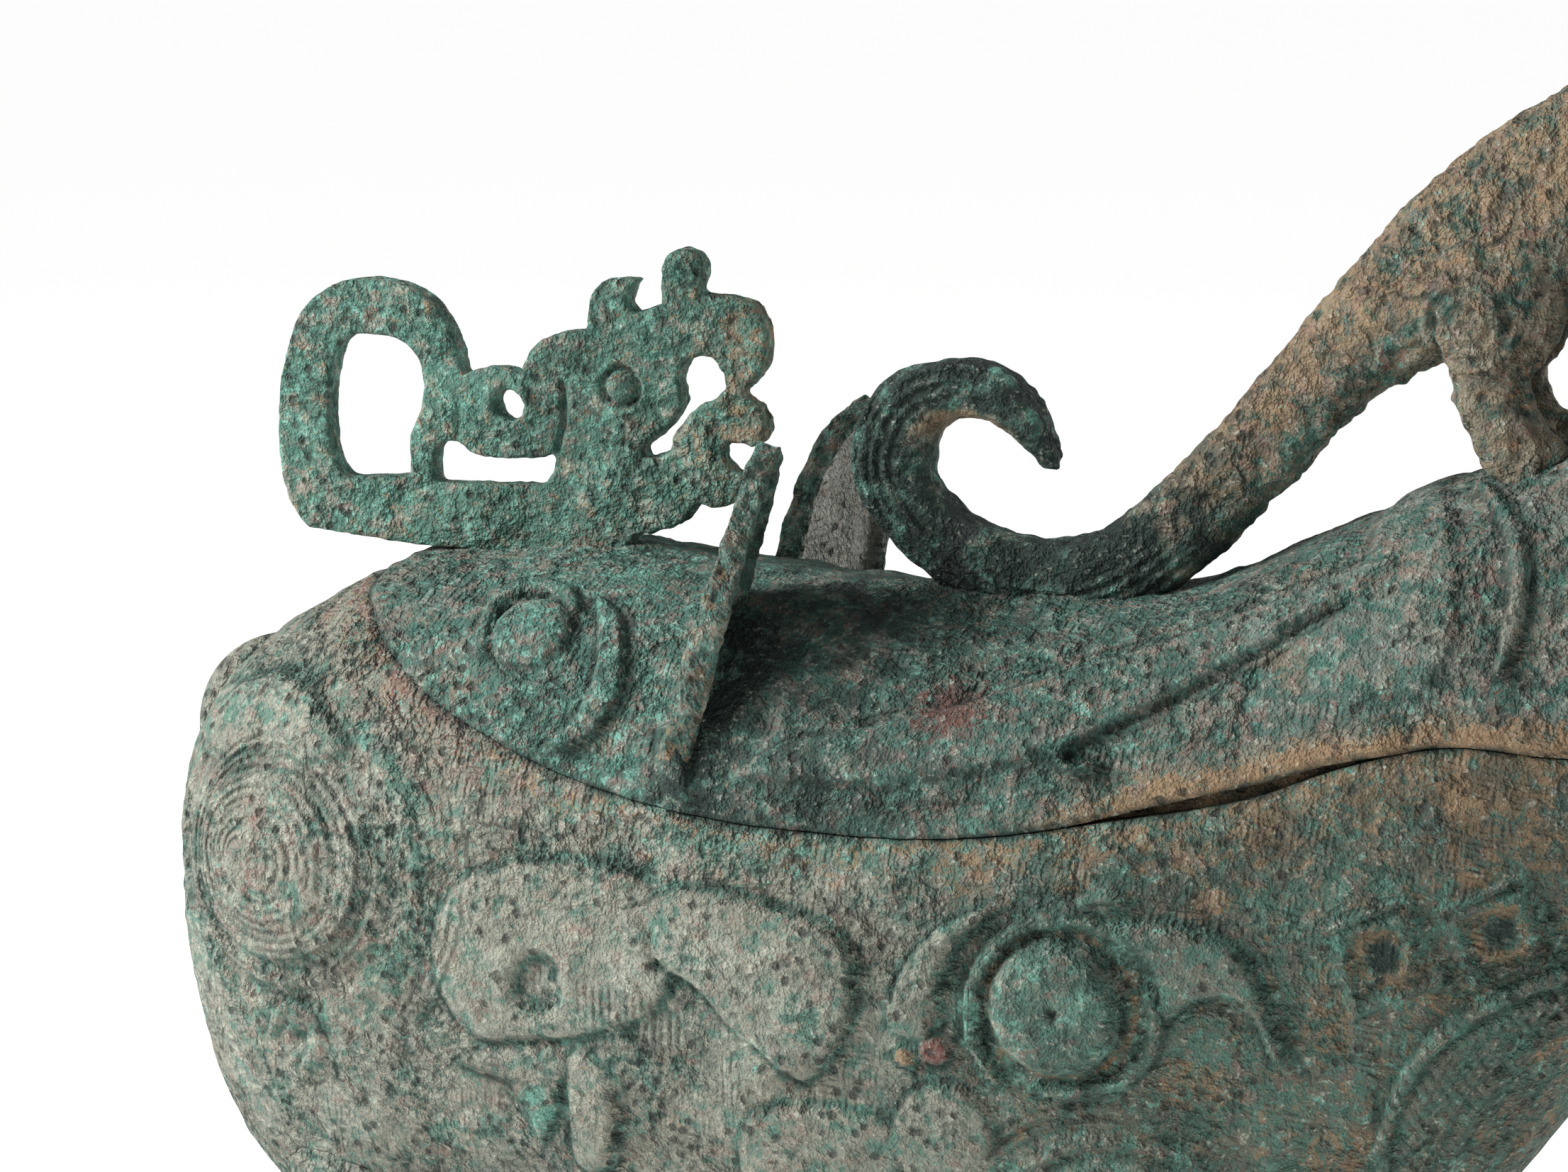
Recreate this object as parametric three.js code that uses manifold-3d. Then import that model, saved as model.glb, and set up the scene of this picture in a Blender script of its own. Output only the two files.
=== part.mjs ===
// A lidded wine vessel of cast bronze in the shape of a composite beast, with a lift-off lid.
// Millimetres, +Z up, +X towards the beast's head, the feet stand on Z = 0.
import * as THREE from 'three';
import { mergeVertices } from 'three/addons/utils/BufferGeometryUtils.js';
import Module from 'manifold-3d';

const wasm = await Module();
wasm.setup();

// Driving dimensions.
const length = 440; // from the beak on the rump to the snout
const fullness = 1; // how wide the beast is, against the width drawn below
const wall = 3.3; // thickness of the casting
const lidSeat = 0.35; // space between the lid's edge and the vessel's rim where they touch
const lidGape = 2.6; // extra space where the lid stands proud of the rim at the shoulder
const flangeDepth = 6; // how far the lid's inner flange drops into the mouth
const flangeThickness = 2.4;
const flangePlay = 0.7; // space between the flange and the mouth
const reliefHeight = 2; // how proud the raised ornament stands
const reliefRoot = 2; // how deep an ornament is rooted in the wall
const haunchSwell = 3.4; // how proud the round haunches and shoulders stand
const legHeight = 112; // from the ground to where a leg is rooted in the bowl
const footHeight = 14;
const knobLength = 121; // the openwork dragon on the lid, from its tail to its snout
const knobThickness = 6.5;
const knobRoot = 4; // how deep its base is cast into the lid
const earLength = 79;
const earWidth = 34;
const earThickness = 6;
const earRim = 3.4; // width of the raised rim round each ear
const earRecess = 2;
const tailHalfWidth = 7; // half the width of the climbing beast's tail, side to side
const torsoHalfWidth = 15;

// The free form is drawn in 440ths of the length, so one step is a millimetre at full size.
const u = length / 440;
const FULL_TURN = 2 * Math.PI;

// A smooth line through [x, value] stations, in steps of the free form.
function line(stations) {
  const x = stations.map((s) => s[0] * u);
  const v = stations.map((s) => s[1] * u);
  const last = x.length - 1;
  const rise = x.map((_, i) => (i < last ? (v[i + 1] - v[i]) / (x[i + 1] - x[i]) : 0));
  const slope = x.map((_, i) => {
    if (i === 0) return rise[0];
    if (i === last) return rise[last - 1];
    const before = x[i] - x[i - 1];
    const after = x[i + 1] - x[i];
    return (rise[i - 1] * after + rise[i] * before) / (before + after);
  });
  return (at) => {
    const q = Math.min(Math.max(at, x[0]), x[last]);
    let i = 0;
    while (i < last - 1 && q > x[i + 1]) i++;
    const span = x[i + 1] - x[i];
    const t = (q - x[i]) / span;
    const s = 1 - t;
    return v[i] * (1 + 2 * t) * s * s + span * slope[i] * t * s * s
      + v[i + 1] * t * t * (3 - 2 * t) - span * slope[i + 1] * t * t * s;
  };
}

// The beast's trunk, from rump to snout: its back, its keel, its half width and the height of
// its widest line, as [x, height] stations.
const back = line([[-212, 209], [-190, 212], [-173, 216.5], [-164, 219.6], [-142, 220.4], [-111, 222.4],
  [-80, 220.3], [-36, 218], [-3, 218.8], [20, 222.8], [51, 237], [80, 251], [99, 259], [132, 276],
  [160, 296], [182, 301], [204, 288], [220, 272]]);
const keel = line([[-212, 50], [-183, 47], [-113, 48], [-13, 49], [27, 52], [52, 60], [77, 77],
  [105, 113], [132, 160], [160, 190], [190, 209], [220, 222]]);
const halfWidth = line([[-212, 60], [-113, 61], [-53, 63], [7, 62], [57, 55], [87, 50], [105, 46],
  [132, 43], [160, 43], [185, 42], [205, 37], [220, 31]]);
const widestHeight = line([[-212, 151], [-13, 151], [27, 154], [52, 160], [80, 172], [105, 186],
  [132, 203], [160, 225], [190, 246], [220, 252]]);
const rump = -213 * u;
const snout = 220 * u;
const rumpStart = -112 * u; // where the trunk begins to round off behind
const snoutStart = 150 * u; // and in front
const rumpRoundness = 3.2;
const snoutRoundness = 2.4;
const squareness = 2.3; // 2 is a round section, more is squarer

// The seam between the vessel's rim and the lid, seen from the side.
const seam = line([[-240, 227], [-172, 216.6], [-160, 210.6], [-151.5, 204], [-141, 197.4], [-126, 190.9],
  [-106, 184], [-78, 178.4], [-51, 176.9], [-12, 178.5], [16, 183.8], [48, 191.3], [63, 197.6],
  [85, 203.6], [106, 202.6], [132, 204], [160, 213], [190, 226], [240, 246]]);
const gapeStart = 8 * u;
const gapeEnd = 76 * u;

// A closed geometry as a manifold solid.
function solid(geometry) {
  const bare = geometry.clone();
  bare.deleteAttribute('normal');
  bare.deleteAttribute('uv');
  const merged = mergeVertices(bare, 1e-4);
  return new wasm.Manifold(new wasm.Mesh({
    numProp: 3,
    vertProperties: Float32Array.from(merged.attributes.position.array),
    triVerts: Uint32Array.from(merged.index.array),
  }));
}

// A closed skin between two poles. place(share, turn) gives the point at a share of the way
// from pole to pole and at an angle round it.
function skin(steps, sides, place) {
  const geometry = new THREE.SphereGeometry(1, sides, steps);
  const { position, uv } = geometry.attributes;
  for (let i = 0; i < position.count; i++) {
    const share = 1 - uv.getY(i);
    const atPole = share < 0.001 || share > 0.999;
    const point = place(share, atPole ? 0 : (uv.getX(i) % 1) * FULL_TURN);
    position.setXYZ(i, point.x, point.y, point.z);
  }
  return solid(geometry);
}

const bend = (value, power) => Math.sign(value) * Math.abs(value) ** power;

// How much further an inset goes upright than across a slope, so that the wall stays as thick.
const steepness = (curve, x) => Math.hypot(1, (curve(x + u) - curve(x - u)) / (2 * u));

// The trunk's section at x, drawn in by an inset.
function section(x, inset = 0) {
  let past = 0;
  let roundness = rumpRoundness;
  if (x < rumpStart) past = (rumpStart - x) / (rumpStart - rump - inset);
  if (x > snoutStart) {
    past = (x - snoutStart) / (snout - inset - snoutStart);
    roundness = snoutRoundness;
  }
  const close = Math.max(1 - Math.min(past, 1) ** roundness, 0) ** (1 / roundness);
  const middle = widestHeight(x);
  return {
    middle,
    over: (back(x) - middle - inset * steepness(back, x)) * close,
    under: (middle - keel(x) - inset * steepness(keel, x)) * close,
    half: (halfWidth(x) * fullness - inset) * close,
  };
}

function trunk(inset, steps, sides) {
  const start = rump + inset;
  const reach = snout - inset - start;
  return skin(steps, sides, (share, turn) => {
    const x = start + reach * (1 - Math.cos(share * Math.PI)) / 2;
    const { middle, over, under, half } = section(x, inset);
    const across = bend(-Math.cos(turn), 2 / squareness);
    const rise = bend(Math.sin(turn), 2 / squareness);
    return new THREE.Vector3(x, half * across, middle + (rise > 0 ? over : under) * rise);
  });
}

// How far a point is out of the trunk: below 1 inside, 1 on the surface.
function outness(point) {
  const { middle, over, under, half } = section(point.x);
  const tall = point.z > middle ? over : under;
  if (half < 0.01 || point.x <= rump || point.x >= snout) return 9;
  return (Math.abs(point.y) / half) ** squareness + (Math.abs(point.z - middle) / tall) ** squareness;
}

function outwards(point) {
  const step = 0.5 * u;
  const slope = ['x', 'y', 'z'].map((axis) => {
    const ahead = point.clone();
    const behind = point.clone();
    ahead[axis] += step;
    behind[axis] -= step;
    return outness(ahead) - outness(behind);
  });
  return new THREE.Vector3(...slope).normalize();
}

// How far in and out of a patch's flat the trunk's surface is looked for, and in how many halvings.
const probeIn = 45 * u;
const probeOut = 14 * u;
const halvings = 30;

// A place on the trunk's near flank, with p measured along it, q up it, and a lift off it.
function patch(x, z) {
  const { middle, over, under, half } = section(x * u);
  const tall = z * u > middle ? over : under;
  const share = Math.min(Math.abs(z * u - middle) / tall, 1);
  const y = -half * (1 - share ** squareness) ** (1 / squareness);
  const at = new THREE.Vector3(x * u, y, z * u);
  const out = outwards(at);
  const along = new THREE.Vector3(0, 0, 1).cross(out).normalize();
  const up = out.clone().cross(along);
  const place = (p, q, lift) => {
    const from = at.clone().addScaledVector(along, p).addScaledVector(up, q);
    let inner = -probeIn;
    let outer = probeOut;
    for (let i = 0; i < halvings; i++) {
      const middleDepth = (inner + outer) / 2;
      if (outness(from.clone().addScaledVector(out, middleDepth)) > 1) outer = middleDepth;
      else inner = middleDepth;
    }
    const point = from.addScaledVector(out, outer);
    return point.addScaledVector(outwards(point), lift);
  };
  // The p and q of a place on the flank that is given by its x and z.
  const find = (px, pz) => {
    const other = flank(px, pz).sub(at);
    return [other.dot(along), other.dot(up)];
  };
  return { place, find };
}

function flank(x, z) {
  const { middle, over, under, half } = section(x * u);
  const tall = z * u > middle ? over : under;
  const share = Math.min(Math.abs(z * u - middle) / tall, 1);
  return new THREE.Vector3(x * u, -half * (1 - share ** squareness) ** (1 / squareness), z * u);
}

// A raised round form on a patch: reach(turn) is its radius, height its lift.
function boss(spot, reach, height, sides = 10) {
  const profile = [[0, 1], [0.72, 0.85], [1, -reliefRoot / 2 / height]];
  const steps = profile.length;
  return skin(steps, sides, (share, turn) => {
    const ring = Math.round(share * steps);
    const [spread, lift] = ring < steps ? profile[ring] : [0, 0];
    const p = -Math.cos(turn) * spread * reach(turn);
    const q = -Math.sin(turn) * spread * reach(turn);
    return spot.place(p, q, ring < steps ? lift * height : -reliefRoot);
  });
}

// A raised ridge on a patch along [p, q] points. width(share) is its half width.
function ridge(spot, points, width, height, steps = 8) {
  const path = new THREE.CatmullRomCurve3(points.map(([p, q]) => new THREE.Vector3(p, q, 0)));
  return skin(steps, 4, (share, turn) => {
    const at = path.getPoint(share);
    const ahead = path.getTangent(share);
    const across = -Math.cos(turn) * width(share);
    const crest = Math.max(Math.sin(turn), 0) * (height + reliefRoot / 2);
    const lift = crest + Math.min(Math.sin(turn), 0) * reliefRoot / 2 - reliefRoot / 2;
    const atEnd = share < 0.001 || share > 0.999;
    const side = atEnd ? 0 : across;
    return spot.place(at.x - ahead.y * side, at.y + ahead.x * side, atEnd ? -reliefRoot / 2 : lift);
  });
}

const ridgeThrough = (x, z, places, width, height, steps) => {
  const spot = patch(x, z);
  return ridge(spot, places.map(([px, pz]) => spot.find(px, pz)), width, height, steps);
};
const evenly = (half) => () => half * u;
const tapered = (half, tip) => (share) => u * (tip + (half - tip) * Math.sin(Math.PI * share) ** 0.7);

// A spiral ridge of a given outer radius and number of turns, wound about a patch.
function spiral(spot, radius, turns, width, height) {
  const count = Math.round(turns * 8);
  const points = Array.from({ length: count + 1 }, (_, i) => {
    const share = i / count;
    const angle = share * turns * FULL_TURN;
    const r = radius * u * (0.12 + 0.88 * share);
    return [r * Math.cos(angle), r * Math.sin(angle)];
  });
  return ridge(spot, points, evenly(width), height, Math.round(turns * 10));
}

// A limb: a tube along a path in an upright plane, with a depth and a half width at each share.
function limb(points, depth, half, steps, sides, y = 0) {
  const path = new THREE.CatmullRomCurve3(points.map(([x, z]) => new THREE.Vector3(x * u, y, z * u)));
  return skin(steps, sides, (share, turn) => {
    const at = path.getPoint(share);
    const ahead = path.getTangent(share);
    const closed = share < 0.001 || share > 0.999;
    const across = closed ? 0 : -Math.cos(turn) * half(share);
    const rise = closed ? 0 : Math.sin(turn) * depth(share);
    return new THREE.Vector3(at.x - ahead.z * rise, at.y + across, at.z + ahead.x * rise);
  });
}

// A size that swells and shrinks smoothly through evenly spaced values along a limb.
const swelling = (values) => {
  const top = values.length - 1;
  return line(values.map((value, i) => [i / top / u, value / u]));
};

const mirrored = (form) => form.mirror([0, 1, 0]);
const union = (forms) => forms.reduce((whole, form) => whole.add(form));
const bothSides = (forms) => union(forms.flatMap((form) => [form, mirrored(form)]));

// The space above or below the seam, drawn from the side and extruded across the beast.
function besideSeam(lift, bound) {
  const reach = 260 * u;
  const shape = new THREE.Shape();
  const steps = 28;
  shape.moveTo(-reach, bound);
  for (let i = 0; i <= steps; i++) {
    const x = -reach + (2 * reach * i) / steps;
    shape.lineTo(x, seam(x) + lift(x));
  }
  shape.lineTo(reach, bound);
  const depth = 200 * u * fullness;
  const geometry = new THREE.ExtrudeGeometry(shape, { depth, bevelEnabled: false });
  geometry.rotateX(Math.PI / 2);
  geometry.translate(0, depth / 2, 0);
  return solid(geometry);
}

const gape = (x) => {
  const share = (x - gapeStart) / (gapeEnd - gapeStart);
  const open = share > 0 && share < 1 ? Math.sin(Math.PI * share) ** 1.5 : 0;
  return lidSeat + lidGape * open;
};
const sky = 500 * u;
const vesselSpace = besideSeam(() => 0, -20 * u);
const lidSpace = besideSeam(gape, sky);

const outerForm = trunk(0, 30, 20);
const hollow = trunk(wall, 22, 14);

// The vessel: bowl, rump beak, raised ornament and four legs, cast as one.
function rumpBeak() {
  const path = [[-186, 189], [-200, 188], [-209, 182], [-212, 171], [-207, 158], [-190, 149]];
  return limb(path, swelling([6.5, 7.6, 8, 8, 8, 7].map((v) => v * u)),
    swelling([6, 9, 10, 9, 8, 6].map((v) => v * u * fullness)), 8, 10);
}

function leg(x, lean) {
  const stance = 36 * u * fullness;
  const footRise = footHeight / legHeight;
  const rise = [0, footRise * 0.55, footRise, 0.26, 0.42, 0.66, 1];
  const reach = [19, 18.5, 12.5, 12, 15.5, 24, 26].map((v) => v * u);
  const half = [15, 14.5, 11, 11, 13.5, 17.5, 16].map((v) => v * u * fullness);
  const shift = [5, 4, 1, 0, lean, lean * 2, lean * 2.4].map((v) => v * u);
  const rings = rise.length;
  const geometry = new THREE.CylinderGeometry(1, 1, 1, 10, rings - 1);
  geometry.rotateX(Math.PI / 2);
  const { position } = geometry.attributes;
  for (let i = 0; i < position.count; i++) {
    const ring = Math.round((position.getZ(i) + 0.5) * (rings - 1));
    const angle = Math.atan2(position.getY(i), position.getX(i));
    const toes = ring < 2 && Math.cos(angle) > 0.1 ? 1 + 0.1 * Math.cos(5 * angle) : 1;
    const dx = position.getX(i) * reach[ring] * toes;
    const dy = position.getY(i) * half[ring];
    position.setXYZ(i, x * u + shift[ring] + dx, -stance + dy, rise[ring] * legHeight);
  }
  return solid(geometry);
}

function bowlOrnament() {
  const swell = haunchSwell;
  const haunch = patch(-176, 159);
  const shoulder = patch(27, 96);
  const eye = patch(10, 146);
  const head = patch(-108, 139);
  return [
    boss(haunch, () => 29 * u, swell, 12),
    spiral(haunch, 24, 1.9, 2.6, swell + reliefHeight * 0.6),
    boss(shoulder, () => 25 * u, swell, 11),
    spiral(shoulder, 21, 1.6, 2.6, swell + reliefHeight * 0.6),
    boss(eye, () => 16.5 * u, reliefHeight * 2.9),
    ridge(eye, Array.from({ length: 9 }, (_, i) => {
      const angle = (250 - i * 24) * Math.PI / 180;
      return [21 * u * Math.cos(angle), 21 * u * Math.sin(angle)];
    }), evenly(2.4), reliefHeight * 1.2, 9),
    ridgeThrough(40, 152, [[4, 167], [22, 167], [38, 164], [51, 156], [58, 144], [64, 131]],
      tapered(7.5, 3), reliefHeight * 1.3),
    ridgeThrough(-18, 152, [[-9, 163], [-17, 159.5], [-24, 149], [-26, 137]], tapered(4, 1.5),
      reliefHeight * 1.2, 8),
    boss(patch(-16, 134), () => 4.5 * u, reliefHeight * 1.2, 8),
    boss(head, (turn) => 23 * u * (1 - 0.12 * Math.abs(Math.sin(turn))), reliefHeight * 1.4, 12),
    ridge(head, Array.from({ length: 9 }, (_, i) => {
      const angle = i / 8 * FULL_TURN * 0.9;
      return [2 * u + 7.5 * u * Math.cos(angle), 7.5 * u * Math.sin(angle)];
    }), evenly(1.6), reliefHeight * 1.9, 10),
    boss(patch(-57, 143), (turn) => 29 * u / Math.hypot(Math.cos(turn), 1.5 * Math.sin(turn)),
      reliefHeight * 1.4, 12),
    ridgeThrough(88, 134, [[66, 113], [74, 127], [87, 138], [104, 146]], tapered(6, 3),
      reliefHeight * 1.2, 8),
    ridgeThrough(-182, 188, [[-203, 184], [-186, 189], [-168, 187], [-156, 181]], tapered(5, 2),
      reliefHeight, 8),
  ];
}

function makeVessel() {
  const legs = [leg(-150, -4), leg(27, 2)];
  const shell = outerForm.intersect(vesselSpace);
  const dressed = shell.add(bothSides([...bowlOrnament(), ...legs])).add(rumpBeak());
  return dressed.subtract(hollow);
}

// The lid: rear mask, ears, openwork dragon, neck and head, and the beast that climbs it.
function lidOrnament() {
  const eye = patch(-118, 211);
  return [
    boss(eye, () => 8.5 * u, reliefHeight * 2.2, 12),
    ridgeThrough(-95, 204, [[-106, 216], [-97, 212.5], [-93.5, 208], [-94, 200.5], [-97, 195],
      [-102.5, 190], [-109, 190]], tapered(3.2, 1.4), reliefHeight),
    ridgeThrough(-2, 204, [[-60, 192], [-48, 197], [-27, 199.5], [-7, 206.5], [13, 214], [31, 221],
      [58, 230]], tapered(6.5, 3), reliefHeight),
    ridgeThrough(30, 208, [[56, 227], [44, 220], [33, 213], [23, 208], [6, 198.6], [8, 194.7],
      [15, 193]], evenly(1.7), reliefHeight * 1.4),
    ridgeThrough(94, 230, [[84, 250], [92, 247], [96, 233], [95, 218]], tapered(3.4, 1.6), reliefHeight, 8),
  ];
}

// An ear: a leaf-shaped plate with a raised rim, set across the flank and leaning forward.
function ear() {
  const leaf = (inset) => {
    const half = earWidth / 2 - inset;
    const shape = new THREE.Shape();
    shape.moveTo(-half * 0.82, inset);
    shape.bezierCurveTo(-half * 1.2, earLength * 0.35, -half * 1.25, earLength * 0.78,
      -half * 0.28, earLength - inset);
    shape.quadraticCurveTo(half * 0.2, earLength - inset * 0.6, half * 0.62, earLength * 0.86);
    shape.bezierCurveTo(half * 1.22, earLength * 0.62, half * 1.1, earLength * 0.28, half * 0.5, inset);
    return shape;
  };
  const options = { bevelEnabled: false, curveSegments: 5 };
  const plate = new THREE.ExtrudeGeometry(leaf(0), { ...options, depth: earThickness });
  const dish = new THREE.ExtrudeGeometry(leaf(earRim), { ...options, depth: earThickness });
  dish.translate(0, 0, earThickness - earRecess);
  const shaped = solid(plate).subtract(solid(dish));
  const foot = new THREE.Vector3(-86.5, -44.5, 178.5).multiplyScalar(u);
  const tip = new THREE.Vector3(-68.5, -27.5, 254.5).multiplyScalar(u);
  const rise = tip.sub(foot).normalize();
  const faceHint = new THREE.Vector3(0.93, 0.33, -0.2);
  const face = faceHint.addScaledVector(rise, -faceHint.dot(rise)).normalize();
  const across = rise.clone().cross(face);
  const frame = new THREE.Matrix4().makeBasis(across, rise, face).setPosition(foot);
  return shaped.transform(frame.elements);
}

// The openwork dragon that serves as the lid's knob, cut from one plate. x runs from its stand
// towards the great head and z up from the lid.
function knob() {
  const k = knobLength / 121;
  const outline = new THREE.Shape();
  const pen = (path) => ({
    to: (x, z) => path.lineTo(x * k, z * k),
    bow: (cx, cz, x, z) => path.quadraticCurveTo(cx * k, cz * k, x * k, z * k),
    sweep: (ax, az, bx, bz, x, z) => path.bezierCurveTo(ax * k, az * k, bx * k, bz * k, x * k, z * k),
  });
  const hole = (x, z) => {
    const path = new THREE.Path();
    path.moveTo(x * k, z * k);
    outline.holes.push(path);
    return pen(path);
  };
  // Base, tail loop and its hip.
  outline.moveTo(-53 * k, -knobRoot);
  const edge = pen(outline);
  edge.to(-53, -2.5);
  edge.to(-79, -0.5);
  edge.bow(-84, 3, -85.6, 10.3);
  edge.sweep(-87.4, 20, -87.4, 34, -81.5, 47.5);
  edge.sweep(-77, 55.5, -70, 58.4, -62, 58.4);
  edge.sweep(-50, 58.4, -42, 53, -39.4, 37.5);
  edge.bow(-32, 41.5, -25.5, 38);
  edge.bow(-24, 48, -9, 49.3);
  // Hooked crest, round crest, beak.
  edge.to(-8.4, 56);
  edge.bow(-7, 62.5, 3.4, 61);
  edge.bow(-1.6, 57, 2.4, 53.4);
  edge.to(8.9, 55.8);
  edge.to(9, 64);
  edge.sweep(10, 70.5, 19, 70, 19, 62.7);
  edge.to(17.4, 58.3);
  edge.bow(28, 59, 31.4, 56);
  edge.sweep(36, 50, 34.5, 42, 27.6, 36.8);
  // Tongue, lower jaw and breast.
  edge.sweep(35, 34, 36, 26.5, 30, 25);
  edge.bow(26, 27, 23.9, 25);
  edge.bow(22, 20.5, 28.5, 18.3);
  edge.bow(29, 11, 20.2, 10.6);
  edge.to(17, 11.9);
  edge.bow(14, 4.4, 5, 4);
  edge.to(2, 3.4);
  edge.to(-0.5, -knobRoot / k);
  edge.to(-53, -knobRoot / k);
  const tailLoop = hole(-73.2, 20);
  tailLoop.sweep(-73.8, 32, -73, 45, -66, 45.5);
  tailLoop.to(-58, 45.5);
  tailLoop.sweep(-50, 44, -48.4, 38, -50, 29.5);
  tailLoop.to(-53, 23);
  tailLoop.to(-53, 13.3);
  tailLoop.to(-69, 12);
  tailLoop.bow(-72.6, 14, -73.2, 20);
  const lowWindow = hole(-46.8, 12.2);
  lowWindow.to(-47, 20);
  lowWindow.bow(-42, 24.5, -38.2, 20);
  lowWindow.bow(-34, 17.6, -16.8, 20.4);
  lowWindow.bow(-17.6, 13.4, -22.4, 13);
  const mouth = hole(13, 39);
  mouth.sweep(12.8, 46.6, 24.6, 47.6, 24, 38.4);
  mouth.bow(22.6, 34.8, 19.3, 34);
  mouth.bow(12, 29.6, 10.6, 22.6);
  mouth.to(4.6, 20.6);
  mouth.to(4.2, 23.4);
  mouth.bow(12, 29, 14, 34.4);
  const ring = hole(-24.7, 31.2);
  ring.sweep(-24.7, 36, -31.9, 36, -31.9, 31.2);
  ring.sweep(-31.9, 26.4, -24.7, 26.4, -24.7, 31.2);
  const curveSegments = 3;
  const plate = new THREE.Shape(outline.getPoints(curveSegments).reverse());
  plate.holes = outline.holes;
  const geometry = new THREE.ExtrudeGeometry(plate, {
    depth: knobThickness, bevelEnabled: false, curveSegments,
  });
  geometry.rotateX(Math.PI / 2);
  const stand = -110 * u;
  geometry.translate(stand, knobThickness / 2, back(stand));
  return solid(geometry);
}

function climbingBeast() {
  const spine = [[-10, 246], [-15, 254.5], [-22.5, 261.5], [-33, 263], [-42.5, 258.5], [-47, 249], [-45, 239.5],
    [-34.5, 228.8], [-20, 222], [-3, 222], [13, 231], [33, 252], [50, 272], [68, 288], [88, 302], [110, 317],
    [134, 335], [158, 343], [176, 344]];
  const depth = swelling([2.2, 3.9, 5.6, 6.4, 8, 9.4, 8.6, 8, 9.4, 10, 10, 10, 10.5, 15, 20, 20.5, 20, 19, 13]
    .map((v) => v * u));
  const broad = torsoHalfWidth;
  const half = swelling([3, 0.8 * tailHalfWidth, tailHalfWidth, tailHalfWidth, tailHalfWidth, tailHalfWidth,
    tailHalfWidth, tailHalfWidth, tailHalfWidth * 1.1, tailHalfWidth * 1.2, tailHalfWidth * 1.2,
    tailHalfWidth * 1.2, tailHalfWidth * 1.3, broad * 0.8, broad, broad, broad, broad * 0.95, broad * 0.8]);
  const body = limb(spine, depth, half, 27, 8);
  const hind = [[80, 303], [86, 288], [85, 273], [89, 262], [97, 252]];
  const fore = [[146, 338], [152, 322], [148, 306], [152, 296], [158, 288]];
  const legDepth = swelling([17, 14.5, 8.5, 7.5, 8.5].map((v) => v * u));
  const legHalf = swelling([6, 6.5, 5.5, 5.5, 6].map((v) => v * u));
  const legY = -(broad - 4 * u);
  const skull = [[160, 350], [176, 351], [190, 346], [203, 338], [207, 335]];
  const head = limb(skull, swelling([12, 17, 15, 11, 7].map((v) => v * u)),
    swelling([11, 16, 14, 11, 8].map((v) => v * u)), 6, 9);
  const earTip = limb([[168, 358], [170, 366], [173, 372]], evenly(4.2), evenly(3), 3, 6, -9 * u);
  const eye = limb([[184, 354], [188, 356], [192, 354]], evenly(3.6), evenly(3.6), 3, 6, -9.5 * u);
  return union([body, head, bothSides([
    limb(hind, legDepth, legHalf, 5, 6, legY),
    limb(fore, legDepth, legHalf, 5, 6, legY),
    earTip,
    eye,
  ])]);
}

// The large head in front: round eyes, brows, bottle horns, ears, and nostrils.
function greatHead() {
  const eye = patch(180, 266);
  const horn = limb([[152, 256], [147, 272], [141, 288], [137, 302], [136, 312], [136, 318]],
    swelling([9, 7.5, 6, 7.6, 8.6, 5].map((v) => v * u)), swelling([9, 7.5, 6, 7.6, 8.6, 5].map((v) => v * u)),
    7, 8, -29 * u * fullness);
  const headEar = limb([[144, 234], [132, 246], [120, 254], [110, 258]],
    swelling([7, 10, 8, 3].map((v) => v * u)), swelling([7, 5, 4, 2].map((v) => v * u)), 5, 6,
    -41 * u * fullness);
  return [
    boss(eye, () => 10.5 * u, reliefHeight * 2.4, 12),
    ridgeThrough(176, 276, [[160, 268], [168, 279], [182, 281], [194, 272]], tapered(4, 2), reliefHeight * 1.6, 8),
    ridgeThrough(186, 244, [[158, 232], [174, 238], [192, 244], [207, 252]], tapered(2.6, 1.2),
      reliefHeight * 1.3, 8),
    boss(patch(210, 262), () => 5.5 * u, reliefHeight * 1.6, 10),
    horn,
    headEar,
  ];
}

// The lid is hollow. A shelf along its edge carries the flange that drops into the mouth.
function makeLid() {
  const shell = outerForm.intersect(lidSpace);
  const castOn = union([bothSides([...lidOrnament(), ...greatHead(), ear()]), knob(), climbingBeast()]);
  const flangeSpace = besideSeam((x) => gape(x) + flangeThickness / 2, -20 * u)
    .subtract(besideSeam(() => -flangeDepth, -20 * u));
  const flange = trunk(wall + flangePlay, 22, 14).intersect(flangeSpace);
  const shelfSpace = besideSeam((x) => gape(x) + flangeThickness, sky);
  const insideFlange = trunk(wall + flangePlay + flangeThickness, 22, 14);
  return shell.add(castOn.intersect(lidSpace)).add(flange)
    .subtract(hollow.intersect(shelfSpace)).subtract(insideFlange);
}

function mesh(name, form, material) {
  const { numProp, vertProperties, triVerts } = form.getMesh();
  const geometry = new THREE.BufferGeometry();
  const corners = new Float32Array((vertProperties.length / numProp) * 3);
  for (let i = 0; i < corners.length / 3; i++) {
    for (let axis = 0; axis < 3; axis++) corners[i * 3 + axis] = vertProperties[i * numProp + axis];
  }
  geometry.setAttribute('position', new THREE.BufferAttribute(corners, 3));
  geometry.setIndex(new THREE.BufferAttribute(Uint32Array.from(triVerts), 1));
  geometry.computeVertexNormals();
  const made = new THREE.Mesh(geometry, material);
  made.name = name;
  return made;
}

const bodyBronze = new THREE.MeshStandardMaterial({ color: '#6c7a6b', roughness: 0.85, metalness: 0.3 });
const lidBronze = new THREE.MeshStandardMaterial({ color: '#4f7f72', roughness: 0.85, metalness: 0.3 });

const vessel = new THREE.Group();
vessel.add(mesh('vessel_body', makeVessel(), bodyBronze));
vessel.add(mesh('lid', makeLid(), lidBronze));

export default vessel;
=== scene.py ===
import math

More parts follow.
